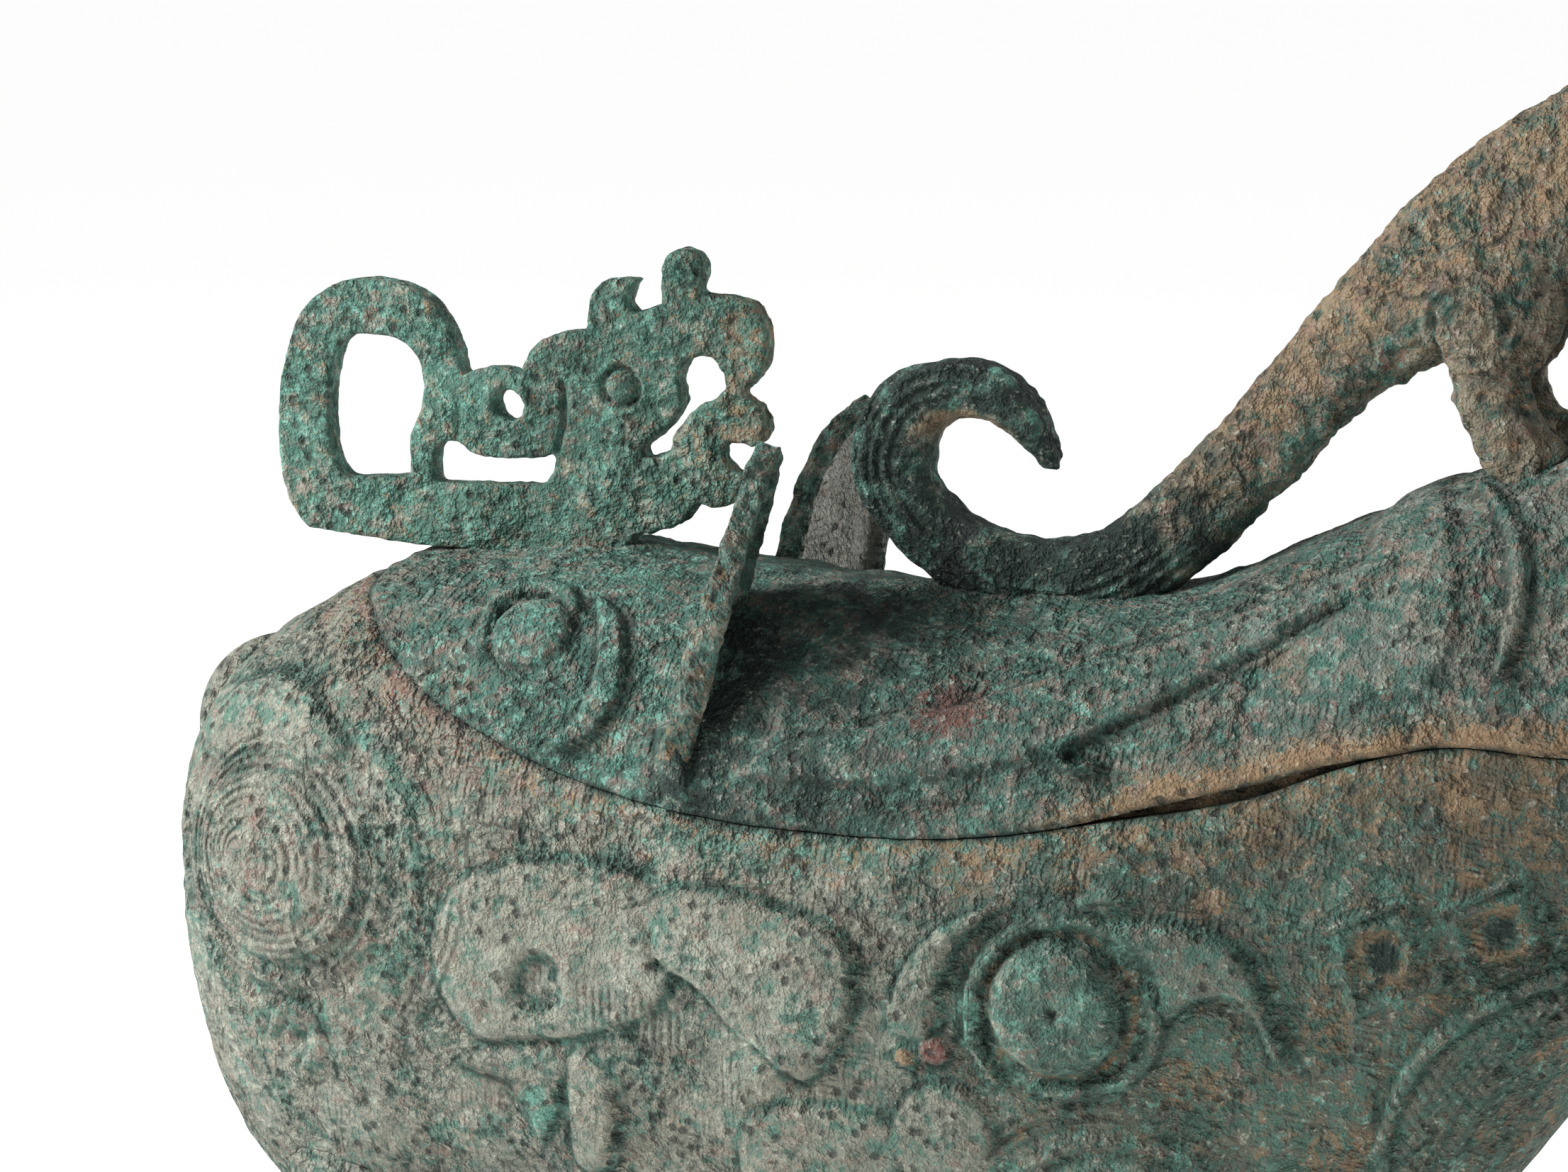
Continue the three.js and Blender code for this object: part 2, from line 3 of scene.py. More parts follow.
import bpy
import numpy as np
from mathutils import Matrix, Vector
from mathutils.geometry import tessellate_polygon


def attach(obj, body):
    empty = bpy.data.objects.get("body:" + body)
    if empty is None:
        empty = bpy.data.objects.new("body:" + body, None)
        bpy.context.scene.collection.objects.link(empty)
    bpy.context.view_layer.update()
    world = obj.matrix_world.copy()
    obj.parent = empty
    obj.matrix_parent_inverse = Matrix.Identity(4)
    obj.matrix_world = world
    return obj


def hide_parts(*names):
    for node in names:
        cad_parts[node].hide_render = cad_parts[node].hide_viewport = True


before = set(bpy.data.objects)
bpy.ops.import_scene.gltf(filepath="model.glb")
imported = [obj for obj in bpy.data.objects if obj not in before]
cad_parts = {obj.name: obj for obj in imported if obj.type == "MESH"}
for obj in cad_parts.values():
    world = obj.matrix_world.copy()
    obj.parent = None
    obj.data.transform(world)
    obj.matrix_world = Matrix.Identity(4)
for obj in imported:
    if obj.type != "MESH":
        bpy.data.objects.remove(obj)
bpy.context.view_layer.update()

# The bowl: the beast's trunk below the seam, cast in one with its ornament, its legs and the beak
# on its rump. It is bronze from a piece mould, and its relief was in the mould. The forms are
# drawn in millimetres, with +X towards the great head, and are the ones that the solids have.
MM = 0.001
WALL = 3.3
RUMP_END = -213.0
SNOUT_END = 220.0
RUMP_START = -112.0
SNOUT_START = 150.0
RUMP_ROUNDNESS = 3.2
SNOUT_ROUNDNESS = 2.4
SQUARENESS = 2.3
GAPE_START = 8.0
GAPE_END = 76.0
LID_SEAT = 0.35
LID_GAPE = 2.6


def line(stations):
    """A smooth line through [x, value] stations."""
    x, v = np.array(stations, float).T
    gaps = np.diff(x)
    rise = np.diff(v) / gaps
    inner = (rise[:-1] * gaps[1:] + rise[1:] * gaps[:-1]) / (gaps[:-1] + gaps[1:])
    slope = np.concatenate([rise[:1], inner, rise[-1:]])

    def value_at(place):
        q = np.clip(place, x[0], x[-1])
        i = np.clip(np.searchsorted(x, q, side="right") - 1, 0, len(x) - 2)
        span = x[i + 1] - x[i]
        t = (q - x[i]) / span
        s = 1 - t
        start = v[i] * (1 + 2 * t) * s * s + span * slope[i] * t * s * s
        return start + v[i + 1] * t * t * (3 - 2 * t) - span * slope[i + 1] * t * t * s
    return value_at


back = line([[-212, 209], [-190, 212], [-173, 216.5], [-164, 219.6], [-142, 220.4], [-111, 222.4],
             [-80, 220.3], [-36, 218], [-3, 218.8], [20, 222.8], [51, 237], [80, 251], [99, 259],
             [132, 276], [160, 296], [182, 301], [204, 288], [220, 272]])
keel = line([[-212, 50], [-183, 47], [-113, 48], [-13, 49], [27, 52], [52, 60], [77, 77],
             [105, 113], [132, 160], [160, 190], [190, 209], [220, 222]])
half_width = line([[-212, 60], [-113, 61], [-53, 63], [7, 62], [57, 55], [87, 50], [105, 46],
                   [132, 43], [160, 43], [185, 42], [205, 37], [220, 31]])
widest_height = line([[-212, 151], [-13, 151], [27, 154], [52, 160], [80, 172], [105, 186],
                      [132, 203], [160, 225], [190, 246], [220, 252]])
seam = line([[-240, 227], [-172, 216.6], [-160, 210.6], [-151.5, 204], [-141, 197.4],
             [-126, 190.9], [-106, 184], [-78, 178.4], [-51, 176.9], [-12, 178.5], [16, 183.8],
             [48, 191.3], [63, 197.6], [85, 203.6], [106, 202.6], [132, 204], [160, 213],
             [190, 226], [240, 246]])


def gape(x):
    share = np.clip((x - GAPE_START) / (GAPE_END - GAPE_START), 0, 1)
    return LID_SEAT + LID_GAPE * np.sin(np.pi * share) ** 1.5


def bend(value, power):
    return np.sign(value) * np.abs(value) ** power


def smooth(low, high, value):
    t = np.clip((value - low) / (high - low), 0, 1)
    return t * t * (3 - 2 * t)


def bell(value, width):
    """1 where a value is 0, falling off to either side over a width."""
    return np.exp(-(value / width) ** 2)


def steepness(curve, x):
    return np.hypot(1, (curve(x + 1) - curve(x - 1)) / 2)


def section(x, inset=0.0):
    """The trunk's section at x: its middle height, and its reach above, below and to the side."""
    x = np.asarray(x, float)
    past = np.where(x < RUMP_START, (RUMP_START - x) / (RUMP_START - RUMP_END - inset), 0)
    past = np.where(x > SNOUT_START, (x - SNOUT_START) / (SNOUT_END - inset - SNOUT_START), past)
    power = np.where(x > SNOUT_START, SNOUT_ROUNDNESS, RUMP_ROUNDNESS)
    close = np.maximum(1 - np.clip(past, 0, 1) ** power, 0) ** (1 / power)
    middle = widest_height(x)
    over = (back(x) - middle - inset * steepness(back, x)) * close
    under = (middle - keel(x) - inset * steepness(keel, x)) * close
    return middle, over, under, (half_width(x) - inset) * close


def outness(points):
    """Below 1 inside the trunk, 1 on its surface."""
    middle, over, under, half = section(points[..., 0])
    tall = np.maximum(np.where(points[..., 2] > middle, over, under), 0.01)
    across = np.abs(points[..., 1]) / np.maximum(half, 0.01)
    return across ** SQUARENESS + (np.abs(points[..., 2] - middle) / tall) ** SQUARENESS


def outwards(points):
    """The direction out of the trunk at points on its surface."""
    step = 0.25
    slopes = []
    for axis in np.eye(3) * step:
        slopes.append(outness(points + axis) - outness(points - axis))
    out = np.stack(slopes, axis=-1)
    return out / np.maximum(np.linalg.norm(out, axis=-1, keepdims=True), 1e-9)


def flank(x, z):
    """The place on the near flank at x and z."""
    middle, over, under, half = section(x)
    tall = np.where(z > middle, over, under)
    share = np.minimum(np.abs(z - middle) / tall, 1)
    return np.array([x, -half * (1 - share ** SQUARENESS) ** (1 / SQUARENESS), z], float)


def stations_along(start, end, spacing, inset=0.0):
    """Places along x whose skin is a given spacing apart, from end to end of the trunk."""
    turn = np.linspace(0, np.pi, 4001)[1:-1]
    fine = start + (end - start) * (1 - np.cos(turn)) / 2
    middle, over, under, half = section(fine, inset)
    walk = np.sqrt(np.gradient(fine) ** 2 + np.gradient(half) ** 2 + 0.5 * np.gradient(over) ** 2)
    steps = np.cumsum(walk / spacing(fine))
    return np.interp(np.linspace(steps[0], steps[-1], int(steps[-1])), steps, fine)


def trunk_rings(inset, spacing_along, sides, fineness):
    """Rings of points round the trunk. fineness(x, y, z) says where they lie closer together."""
    start = RUMP_END + inset
    end = SNOUT_END - inset
    turn = np.linspace(-np.pi / 2, 1.5 * np.pi, 1441)
    rings = []
    for x in stations_along(start, end, spacing_along, inset):
        middle, over, under, half = section(x, inset)
        y = half * bend(-np.cos(turn), 2 / SQUARENESS)
        rise = bend(np.sin(turn), 2 / SQUARENESS)
        z = middle + np.where(rise > 0, over, under) * rise
        walk = np.hypot(np.diff(y), np.diff(z))
        walk *= fineness(x, (y[1:] + y[:-1]) / 2, (z[1:] + z[:-1]) / 2)
        steps = np.concatenate([[0], np.cumsum(walk)])
        even = np.linspace(0, steps[-1], sides + 1)[:-1]
        rings.append(np.stack([np.full(sides, x), np.interp(even, steps, y),
                               np.interp(even, steps, z)], axis=-1))
    poles = [np.array([x, 0, widest_height(x)]) for x in (start, end)]
    return np.array(rings), poles


def within_box(points):
    """Eases points back that reach past the vessel's overall size."""
    reach = np.array([219.4, 67.4, 400.0])
    soft = np.array([1.5, 1.5, 1.0])
    past = np.maximum(np.abs(points) - (reach - soft), 0)
    return np.sign(points) * (np.minimum(np.abs(points), reach - soft) + soft * np.tanh(past / soft))


def new_piece(name, points, faces):
    """A mesh object from points in millimetres."""
    mesh = bpy.data.meshes.new(name)
    mesh.from_pydata((np.asarray(points, float) * MM).tolist(), [], faces)
    mesh.shade_smooth()
    piece = bpy.data.objects.new(name, mesh)
    bpy.context.scene.collection.objects.link(piece)
    return piece


def joined(name, shells):
    """One object out of several closed skins."""
    points, faces, first = [], [], 0
    for rings, poles in shells:
        count, sides = rings.shape[:2]
        here = np.arange(count * sides).reshape(count, sides) + first
        ahead = np.roll(here, -1, axis=1)
        quads = np.stack([here[:-1], here[1:], ahead[1:], ahead[:-1]], axis=-1).reshape(-1, 4)
        last = first + count * sides
        faces += quads.tolist()
        faces += [[last, int(a), int(b)] for a, b in zip(here[0], ahead[0])]
        faces += [[last + 1, int(b), int(a)] for a, b in zip(here[-1], ahead[-1])]
        points += [rings.reshape(-1, 3), np.array(poles)]
        first = last + 2
    return new_piece(name, np.concatenate(points), faces)


def carve(piece, tool, operation):
    """Joins or cuts a piece by a tool, which is used up."""
    change = piece.modifiers.new(operation, "BOOLEAN")
    change.operation = operation
    change.solver = "MANIFOLD"
    change.object = tool
    bpy.context.view_layer.update()
    whole = bpy.data.meshes.new_from_object(piece.evaluated_get(bpy.context.evaluated_depsgraph_get()))
    piece.modifiers.clear()
    piece.data = whole
    bpy.data.objects.remove(tool)


def places_of(piece):
    """A piece's points, in millimetres."""
    co = np.empty(len(piece.data.vertices) * 3)
    piece.data.vertices.foreach_get("co", co)
    return co.reshape(-1, 3) / MM


def beside_seam(name, height, bound):
    """The space between the seam and a bound above or below it, across the whole beast."""
    x = np.arange(-250.0, 250.0, 1.5)
    z = height(x)
    reach = 100.0
    corners = np.stack([np.stack([x, np.full_like(x, y), level], axis=-1)
                        for y, level in ((-reach, z), (reach, z), (reach, np.full_like(x, bound)),
                                         (-reach, np.full_like(x, bound)))], axis=1)
    count = len(x)
    faces = []
    for i in range(count - 1):
        for j in range(4):
            k = (j + 1) % 4
            faces.append([i * 4 + j, i * 4 + k, i * 4 + 4 + k, i * 4 + 4 + j])
    faces += [[3, 2, 1, 0], [count * 4 - 4, count * 4 - 3, count * 4 - 2, count * 4 - 1]]
    if bound > z[0]:
        faces = [face[::-1] for face in faces]
    return new_piece(name, corners.reshape(-1, 3), faces)


def lattice(cells, seed):
    """A steady random number from 0 to 1 for each cell of a lattice."""
    mixed = np.sin(cells @ np.array([127.1, 311.7, 74.7]) + seed * 19.19) * 43758.5453
    return mixed - np.floor(mixed)


def lumps(points, size, seed):
    """Soft random lumps of a size, from -1 to 1."""
    q = points / size
    cell = np.floor(q)
    f = q - cell
    f = f * f * (3 - 2 * f)
    total = 0
    for dx in (0, 1):
        for dy in (0, 1):
            for dz in (0, 1):
                weight = ((f[:, 0] if dx else 1 - f[:, 0]) * (f[:, 1] if dy else 1 - f[:, 1])
                          * (f[:, 2] if dz else 1 - f[:, 2]))
                total = total + weight * lattice(cell + (dx, dy, dz), seed)
    return total * 2 - 1


def board(x, z):
    """A drawing board held against the near flank, and against the far one in mirror image."""
    at = flank(x, z)
    out = outwards(at)
    along = np.cross((0, 0, 1), out)
    along /= np.linalg.norm(along)
    up = np.cross(out, along)

    def seen(points):
        near = np.stack([points[..., 0], -np.abs(points[..., 1]), points[..., 2]], axis=-1) - at
        return near @ along, near @ up

    def put(places):
        return np.array([seen(flank(px, pz)) for px, pz in places])
    return seen, put


def curve_through(points, steps=8, closed=False):
    """A smooth chain of points through the given ones."""
    p = np.array(points, float)
    if closed:
        p = np.concatenate([p[-1:], p, p[:2]])
    else:
        p = np.concatenate([2 * p[:1] - p[1:2], p, 2 * p[-1:] - p[-2:-1]])
    t = np.linspace(0, 1, steps, endpoint=False)[:, None]
    chain = [0.5 * (2 * b + (c - a) * t + (2 * a - 5 * b + 4 * c - d) * t ** 2
                    + (3 * b - a - 3 * c + d) * t ** 3)
             for a, b, c, d in zip(p[:-3], p[1:-2], p[2:-1], p[3:])]
    chain = np.concatenate(chain)
    return chain if closed else np.concatenate([chain, p[-2:-1]])


def from_chain(p, q, chain):
    """How far places are from a chain, to which side, and how far along it."""
    starts, ends = chain[:-1], chain[1:]
    spans = np.linalg.norm(ends - starts, axis=1)
    walked = np.concatenate([[0], np.cumsum(spans)])
    best = np.full(p.shape, 1e9)
    side = np.zeros(p.shape)
    along = np.zeros(p.shape)
    for start, end, span, before in zip(starts, ends, spans, walked):
        ahead = (end - start) / max(span, 1e-9)
        dp, dq = p - start[0], q - start[1]
        t = np.clip(dp * ahead[0] + dq * ahead[1], 0, span)
        away = np.hypot(dp - ahead[0] * t, dq - ahead[1] * t)
        nearer = away < best
        best = np.where(nearer, away, best)
        side = np.where(nearer, np.sign(ahead[0] * dq - ahead[1] * dp), side)
        along = np.where(nearer, before + t, along)
    return best, side, along / walked[-1]


def inside(p, q, outline):
    """How far places are inside a closed outline, negative outside."""
    chain = np.concatenate([outline, outline[:1]])
    away = from_chain(p, q, chain)[0]
    within = np.zeros(p.shape, bool)
    for (ap, aq), (bp, bq) in zip(chain[:-1], chain[1:]):
        crosses = (aq > q) != (bq > q)
        reach = ap + (q - aq) * (bp - ap) / (bq - aq if bq != aq else 1e-9)
        within ^= crosses & (p < reach)
    return np.where(within, away, -away)


def plate(p, q, outline, height, edge=1.3):
    """A raised flat form with a rounded edge."""
    return height * smooth(-0.3 * edge, 0.7 * edge, inside(p, q, outline))


def rib(p, q, chain, half, height, tip=0.3):
    """A raised rib along a chain, narrower towards its ends."""
    away, _, share = from_chain(p, q, chain)
    width = half * (tip + (1 - tip) * np.sin(np.pi * np.clip(share, 0.02, 0.98)) ** 0.6)
    return height * (1 - smooth(0.55, 1.15, away / width))


def cut(p, q, chain, half, depth):
    """A cut line along a chain."""
    return -depth * (1 - smooth(0.2, 1.0, from_chain(p, q, chain)[0] / half))


def pit(p, q, at, radius, depth):
    return -depth * (1 - smooth(0.35, 1.05, np.hypot(p - at[0], q - at[1]) / radius))


def within_reach(points, seen, radius):
    """Which points a drawing on a board can touch."""
    p, q = seen(points)
    return np.hypot(p, q) < radius, p, q


def spread(near, form):
    """A lift for every point, from the lift of those that a drawing touches."""
    lift = np.zeros(len(near))
    lift[near] = form
    return lift


def coils(p, q, core, middle, radius, pitch, depth, turn=1):
    """Fine coils wound out from a core to a disc's edge, as a lift from 0 down to -depth."""
    r = np.hypot(p - middle[0], q - middle[1]) / radius
    for _ in range(3):
        drift = 1 - np.clip(r, 0, 1)
        cp = middle[0] + (core[0] - middle[0]) * drift
        cq = middle[1] + (core[1] - middle[1]) * drift
        r = np.hypot(p - cp, q - cq) / radius
    angle = np.arctan2(q - cq, p - cp) * turn
    wave = np.cos(2 * np.pi * (r * radius / pitch) - angle)
    return -depth * (0.5 - 0.5 * wave) ** 1.6, r


haunch_seen, haunch_put = board(-172, 158)
shoulder_seen, shoulder_put = board(20, 92)


def haunch_relief(points):
    """The coiled disc on the rump, with its moat, the ring round it and the mound above it."""
    near, p, q = within_reach(points, haunch_seen, 62)
    near &= points[:, 0] < -95
    p, q = p[near], q[near]
    radius = 31.0
    core = haunch_put([(-180, 157)])[0]
    fine, r = coils(p, q, core, (0, 0), radius, 2.3, 0.32)
    broad, _ = coils(p, q, core, (0, 0), radius, 7.6, 0.75)
    dome = 2.9 * (1 - smooth(0.45, 1.05, r))
    disc = dome + (fine + broad) * smooth(0.16, 0.3, r) * (1 - smooth(0.9, 0.97, r))
    disc = disc + 0.9 * bell(r - 0.9, 0.05) - 1.0 * bell(r - 1.01, 0.05)
    disc = disc + 0.9 * bell(r - 1.13, 0.06)
    lines = 0.25 * np.cos(r * radius / 2.1 * 2 * np.pi)
    disc = disc + lines * smooth(1.17, 1.22, r) * (1 - smooth(1.5, 1.62, r)) * smooth(-10, 8, p)
    core_r = np.hypot(p - core[0], q - core[1])
    disc = disc + 0.5 * bell(core_r, 5) - 0.8 * bell(core_r, 1.6)
    mound = curve_through(haunch_put([(-200, 181), (-191, 192), (-174, 197), (-160, 191),
                                      (-155, 184), (-163, 180), (-178, 181), (-190, 177)]), 5, True)
    disc = np.maximum(disc, plate(p, q, mound, 2.3, 5.0))
    ring = curve_through(haunch_put([(-176, 117), (-171, 124), (-164.5, 122), (-163, 115),
                                     (-167, 111)]), 6)
    disc = np.maximum(disc, rib(p, q, ring, 1.9, 1.1, 0.6))
    disc = disc + pit(p, q, haunch_put([(-168.3, 117)])[0], 2.4, 1.3)
    return spread(near, disc)


def shoulder_relief(points):
    """The coiled disc on the shoulder, above the foreleg."""
    near, p, q = within_reach(points, shoulder_seen, 44)
    p, q = p[near], q[near]
    radius = 27.0
    fine, r = coils(p, q, (0, 0), (0, 0), radius, 5.4, 0.9, -1)
    disc = 3.0 * (1 - smooth(0.55, 1.04, r)) + fine * (1 - smooth(0.86, 0.95, r))
    disc = disc + 0.8 * bell(r - 0.93, 0.045)
    return spread(near, disc)


BIRD_HEAD = curve_through([(-127, 158), (-112, 165), (-95.5, 166.5), (-82.8, 164.7), (-76, 157),
                           (-75, 143.4), (-82, 133), (-97, 127), (-112, 123.5), (-123, 124),
                           (-130, 132), (-132.5, 145)], 5, True)


def bird_relief(points):
    """The second beast on the flank: a head with a pitted eye, and a leaf-shaped wing."""
    x, z = points[:, 0], points[:, 2]
    near = (x > -140) & (x < -25) & (z < 176) & (z > 55)
    p, q = x[near], z[near]
    form = plate(p, q, BIRD_HEAD, 1.5, 3.5)
    wing = curve_through([(-86, 158), (-69, 163.5), (-57.7, 162), (-41.4, 159), (-34.9, 154.3),
                          (-33.5, 148), (-35.5, 138), (-39.5, 130), (-45, 123.5), (-50, 125),
                          (-57.8, 130.8), (-63.5, 135.1), (-69.2, 140.9), (-77, 145), (-86, 149)],
                         4, True)
    form = np.maximum(form, plate(p, q, wing, 2.3, 2.6))
    form = form + cut(p, q, curve_through([(-84, 160), (-80, 152), (-79, 146)], 5), 1.0, 0.7)
    eye_r = np.hypot(p + 107.5, q - 138.5)
    ragged = eye_r + 1.6 * lumps(points[near], 4.5, 61) + 0.8 * lumps(points[near], 2.4, 62)
    form = form - 1.5 * (1 - smooth(4.6, 7.6, ragged)) + 0.4 * bell(ragged - 8.6, 1.5)
    form = form + pit(p, q, (-78.4, 145.4), 2.6, 1.0) + pit(p, q, (-79.5, 131.4), 1.5, 1.4)
    jaw = curve_through([(-127.7, 118), (-118, 122), (-102, 124.5), (-101.5, 117), (-116, 114)],
                        4, True)
    shin = curve_through([(-100.5, 122.5), (-93, 122), (-90, 111), (-93.5, 95), (-101, 96),
                          (-101.5, 110)], 4, True)
    tooth = curve_through([(-115, 114), (-103.4, 117), (-107.5, 101), (-110.5, 103)], 3, True)
    for outline, height in ((jaw, 1.3), (shin, 1.5), (tooth, 1.2)):
        form = np.maximum(form, plate(p, q, outline, height, 2.6))
    belly = curve_through([(-60, 112), (-38, 118), (-22, 112), (-8, 92), (-12, 76), (-34, 72),
                           (-58, 84)], 4, True)
    form = np.maximum(form, plate(p, q, belly, 1.3, 2.0))
    ribs = 0.35 * np.cos((p - q * 0.12) / 1.9 * 2 * np.pi)
    open_ground = (1 - smooth(0.1, 0.6, form)) * smooth(-104, -96, p) * (1 - smooth(-66, -58, p))
    form = form + ribs * open_ground * smooth(120, 126, q) * (1 - smooth(139, 144, q))
    contour = from_chain(p, q, BIRD_HEAD)[0]
    outside = (1 - smooth(0.1, 0.5, form)) * (1 - smooth(9, 12, contour)) * (1 - smooth(-122, -112, p))
    form = form + 0.3 * np.cos(contour / 2.1 * 2 * np.pi) * outside
    return spread(near, form)


def eye_relief(points):
    """The great eye on the flank, with its ring, brow, crescent ear and studs."""
    x, z = points[:, 0], points[:, 2]
    near = (x > -40) & (x < 62) & (z < 178) & (z > 96)
    p, q = x[near], z[near]
    r = np.hypot((p - 9.3) * 1.04, q - 145.6)
    boss = 3.2 * (1 - smooth(11.6, 15.4, r)) + 2.0 * np.sqrt(np.clip(1 - (r / 15.6) ** 2, 0, 1))
    boss = boss + pit(p, q, (9.3, 145.4), 1.5, 2.2)
    boss = boss - 0.4 * bell(r - 12.2, 0.9)
    ring = curve_through([(-3.2, 128.5), (-8.2, 137), (-8.4, 147.5), (-4, 157), (3, 162.5),
                          (12, 164.5), (20, 163)], 6)
    form = np.maximum(boss, rib(p, q, ring, 1.9, 2.0, 0.6))
    low = curve_through([(28.2, 150), (29.6, 143), (27.6, 136), (20.5, 130), (11, 127.3),
                         (4, 127.8)], 6)
    form = np.maximum(form, rib(p, q, low, 1.8, 1.7, 0.5))
    tail = curve_through([(4, 164.4), (12, 167), (18, 169.6), (22, 168.8)], 6)
    form = np.maximum(form, rib(p, q, tail, 1.8, 1.8, 0.5))
    brow = curve_through([(8, 163.5), (19.7, 164.6), (31.6, 164.8), (41.7, 163.2), (47.5, 159),
                          (51.5, 151.5), (54, 143), (58, 133), (53, 137), (49, 146), (44, 150),
                          (37, 149), (31.5, 144.5), (30, 151), (26.5, 157), (18, 161.5)], 4, True)
    form = np.maximum(form, plate(p, q, brow, 2.5, 3.0))
    crescent = curve_through([(-27, 139), (-25.5, 146), (-21.7, 153.8), (-14.2, 161.4), (-3.5, 166.4),
                              (-5.5, 163.6), (-12, 157.2), (-15.8, 147), (-17.2, 137), (-22, 136)],
                             4, True)
    form = np.maximum(form, plate(p, q, crescent, 2.3, 2.4))
    ditch = curve_through([(-14.5, 137.5), (-13, 147), (-9, 156.8), (-2.5, 162.2)], 5)
    form = form + cut(p, q, ditch, 2.2, 0.9)
    for stud, radius, height in (((-16.3, 134.2), 4.0, 2.1), ((-23.2, 131.6), 2.5, 1.3)):
        stud_r = np.hypot(p - stud[0], q - stud[1]) / radius
        form = np.maximum(form, height * (1 - smooth(0.6, 1.05, stud_r)))
    leg_plate = curve_through([(-22, 124), (-10, 126), (-4, 117), (-8, 104), (-20, 100),
                               (-27, 112)], 4, True)
    form = np.maximum(form, plate(p, q, leg_plate, 1.4, 2.0))
    arch_r = np.hypot(p - 19, q - 90)
    form = form + 0.35 * np.cos((arch_r - 31) / 2.6 * 2 * np.pi) * (
        smooth(28.5, 30, arch_r) * (1 - smooth(36, 38, arch_r)) * (1 - smooth(0.2, 0.8, form)))
    return spread(near, form)


def squared_coil(p, q, at, half, pitch, depth):
    """A squared thunder spiral, cut in."""
    dp, dq = p - at[0], q - at[1]
    square = np.maximum(np.abs(dp), np.abs(dq))
    angle = np.arctan2(dq, dp) / (2 * np.pi)
    wave = np.cos(2 * np.pi * (square / pitch - angle))
    return -depth * (0.5 - 0.5 * wave) ** 1.3 * (1 - smooth(half * 0.94, half, square))


def throat_relief(points):
    """The squared spirals on the throat, and the hooked band that edges it."""
    x, z = points[:, 0], points[:, 2]
    near = (x > 50) & (x < 215)
    p, q = x[near], z[near]
    tilt = math.radians(24)
    u = p * math.cos(tilt) + q * math.sin(tilt)
    v = q * math.cos(tilt) - p * math.sin(tilt)
    form = np.zeros(len(p))
    for cx, cz, half in ((74.5, 160.5, 9.0), (97.5, 166.5, 8.6)):
        at = (cx * math.cos(tilt) + cz * math.sin(tilt), cz * math.cos(tilt) - cx * math.sin(tilt))
        square = np.maximum(np.abs(u - at[0]), np.abs(v - at[1]))
        form = np.maximum(form, 1.2 * (1 - smooth(half, half + 1.6, square)))
        form = form + squared_coil(u, v, at, half, 5.2, 1.5)
        form = form + pit(p, q, (cx, cz), 4.4, 3.0)
    band = curve_through([(73, 118), (77.5, 133.5), (85.5, 145.4), (98.5, 154.6), (112, 161),
                          (128, 172), (142, 186), (150, 196), (143, 181), (126, 160),
                          (110, 146), (99, 134), (92, 124), (86, 108), (76, 100)], 4, True)
    flat = plate(p, q, band, 1.9, 1.8)
    edge = inside(p, q, band)
    flat = flat - 1.2 * bell(edge - 3.6, 1.0)
    hatch = np.cos((u * 0.9 + v * 0.5) / 2.6 * 2 * np.pi)
    flat = flat + 0.3 * hatch * smooth(4.4, 5.4, edge)
    form = np.maximum(form, flat)
    return spread(near, form)


def bowl_relief(points):
    """All the raised and sunk work on the bowl, as a lift off the trunk in millimetres."""
    lift = haunch_relief(points)
    for part, height in ((shoulder_relief, 1.0), (bird_relief, 1.3), (eye_relief, 1.2),
                         (throat_relief, 1.1)):
        other = part(points) * height
        lift = np.where(np.abs(other) > np.abs(lift), other, lift)
    rim = seam(points[:, 0]) - points[:, 2]
    lift = lift * smooth(1.5, 5.0, rim)
    return lift


def beside_forms(relief, points, reach=2.2):
    """How low a place lies beside a raised form, from 0 to 1."""
    here = relief(points)
    high = here
    for step in ((reach, 0, 0), (-reach, 0, 0), (0, 0, reach), (0, 0, -reach)):
        high = np.maximum(high, relief(points + step))
    return here, smooth(0.3, 1.6, high - here) * (1 - smooth(0.9, 1.8, here))


def crust(points, raised, seed):
    """Corrosion that stands on the bronze, thicker on the open ground than on raised work."""
    ground = 1 - 0.65 * smooth(0.6, 1.6, raised)
    pitted = smooth(0.1, 0.6, lumps(points, 26, seed + 5))
    return (0.45 * lumps(points, 9, seed) + ground * (0.5 + 0.8 * pitted) * (
        0.42 * lumps(points, 4.2, seed + 1) + 0.3 * lumps(points, 2.3, seed + 2)))


def rim_wear(height, depth=0.7, reach=1.1):
    """How far an edge has worn back, at a height above or below it."""
    return -depth * np.exp(-(np.maximum(height, 0) / reach) ** 2)


def bowl_fineness(x, y, z):
    flank_side = np.where(y < 0, 1.0, 0.42)
    near_keel = z < widest_height(x) - 0.82 * (widest_height(x) - keel(x))
    weight = np.where(near_keel, 0.25, flank_side)
    return np.where(z > seam(x) + 3, 0.12, weight)


def bowl_spacing(x):
    return np.interp(x, [-213, 90, 130, 220], [1.1, 1.1, 2.0, 2.6])


rings, poles = trunk_rings(0.0, bowl_spacing, 206, bowl_fineness)
flat_points = rings.reshape(-1, 3)
lift = bowl_relief(flat_points)
lift = lift + crust(flat_points, lift, 3)
lift = lift + rim_wear(seam(flat_points[:, 0]) - flat_points[:, 2])
shaped = flat_points + outwards(flat_points) * lift[:, None]
bowl = joined("bowl_casting", [(within_box(shaped).reshape(rings.shape), poles)])
carve(bowl, beside_seam("below_seam", seam, -20.0), "INTERSECT")


def swelling(values):
    """A size that swells and shrinks smoothly through evenly spaced values."""
    return line([[i / (len(values) - 1), value] for i, value in enumerate(values)])


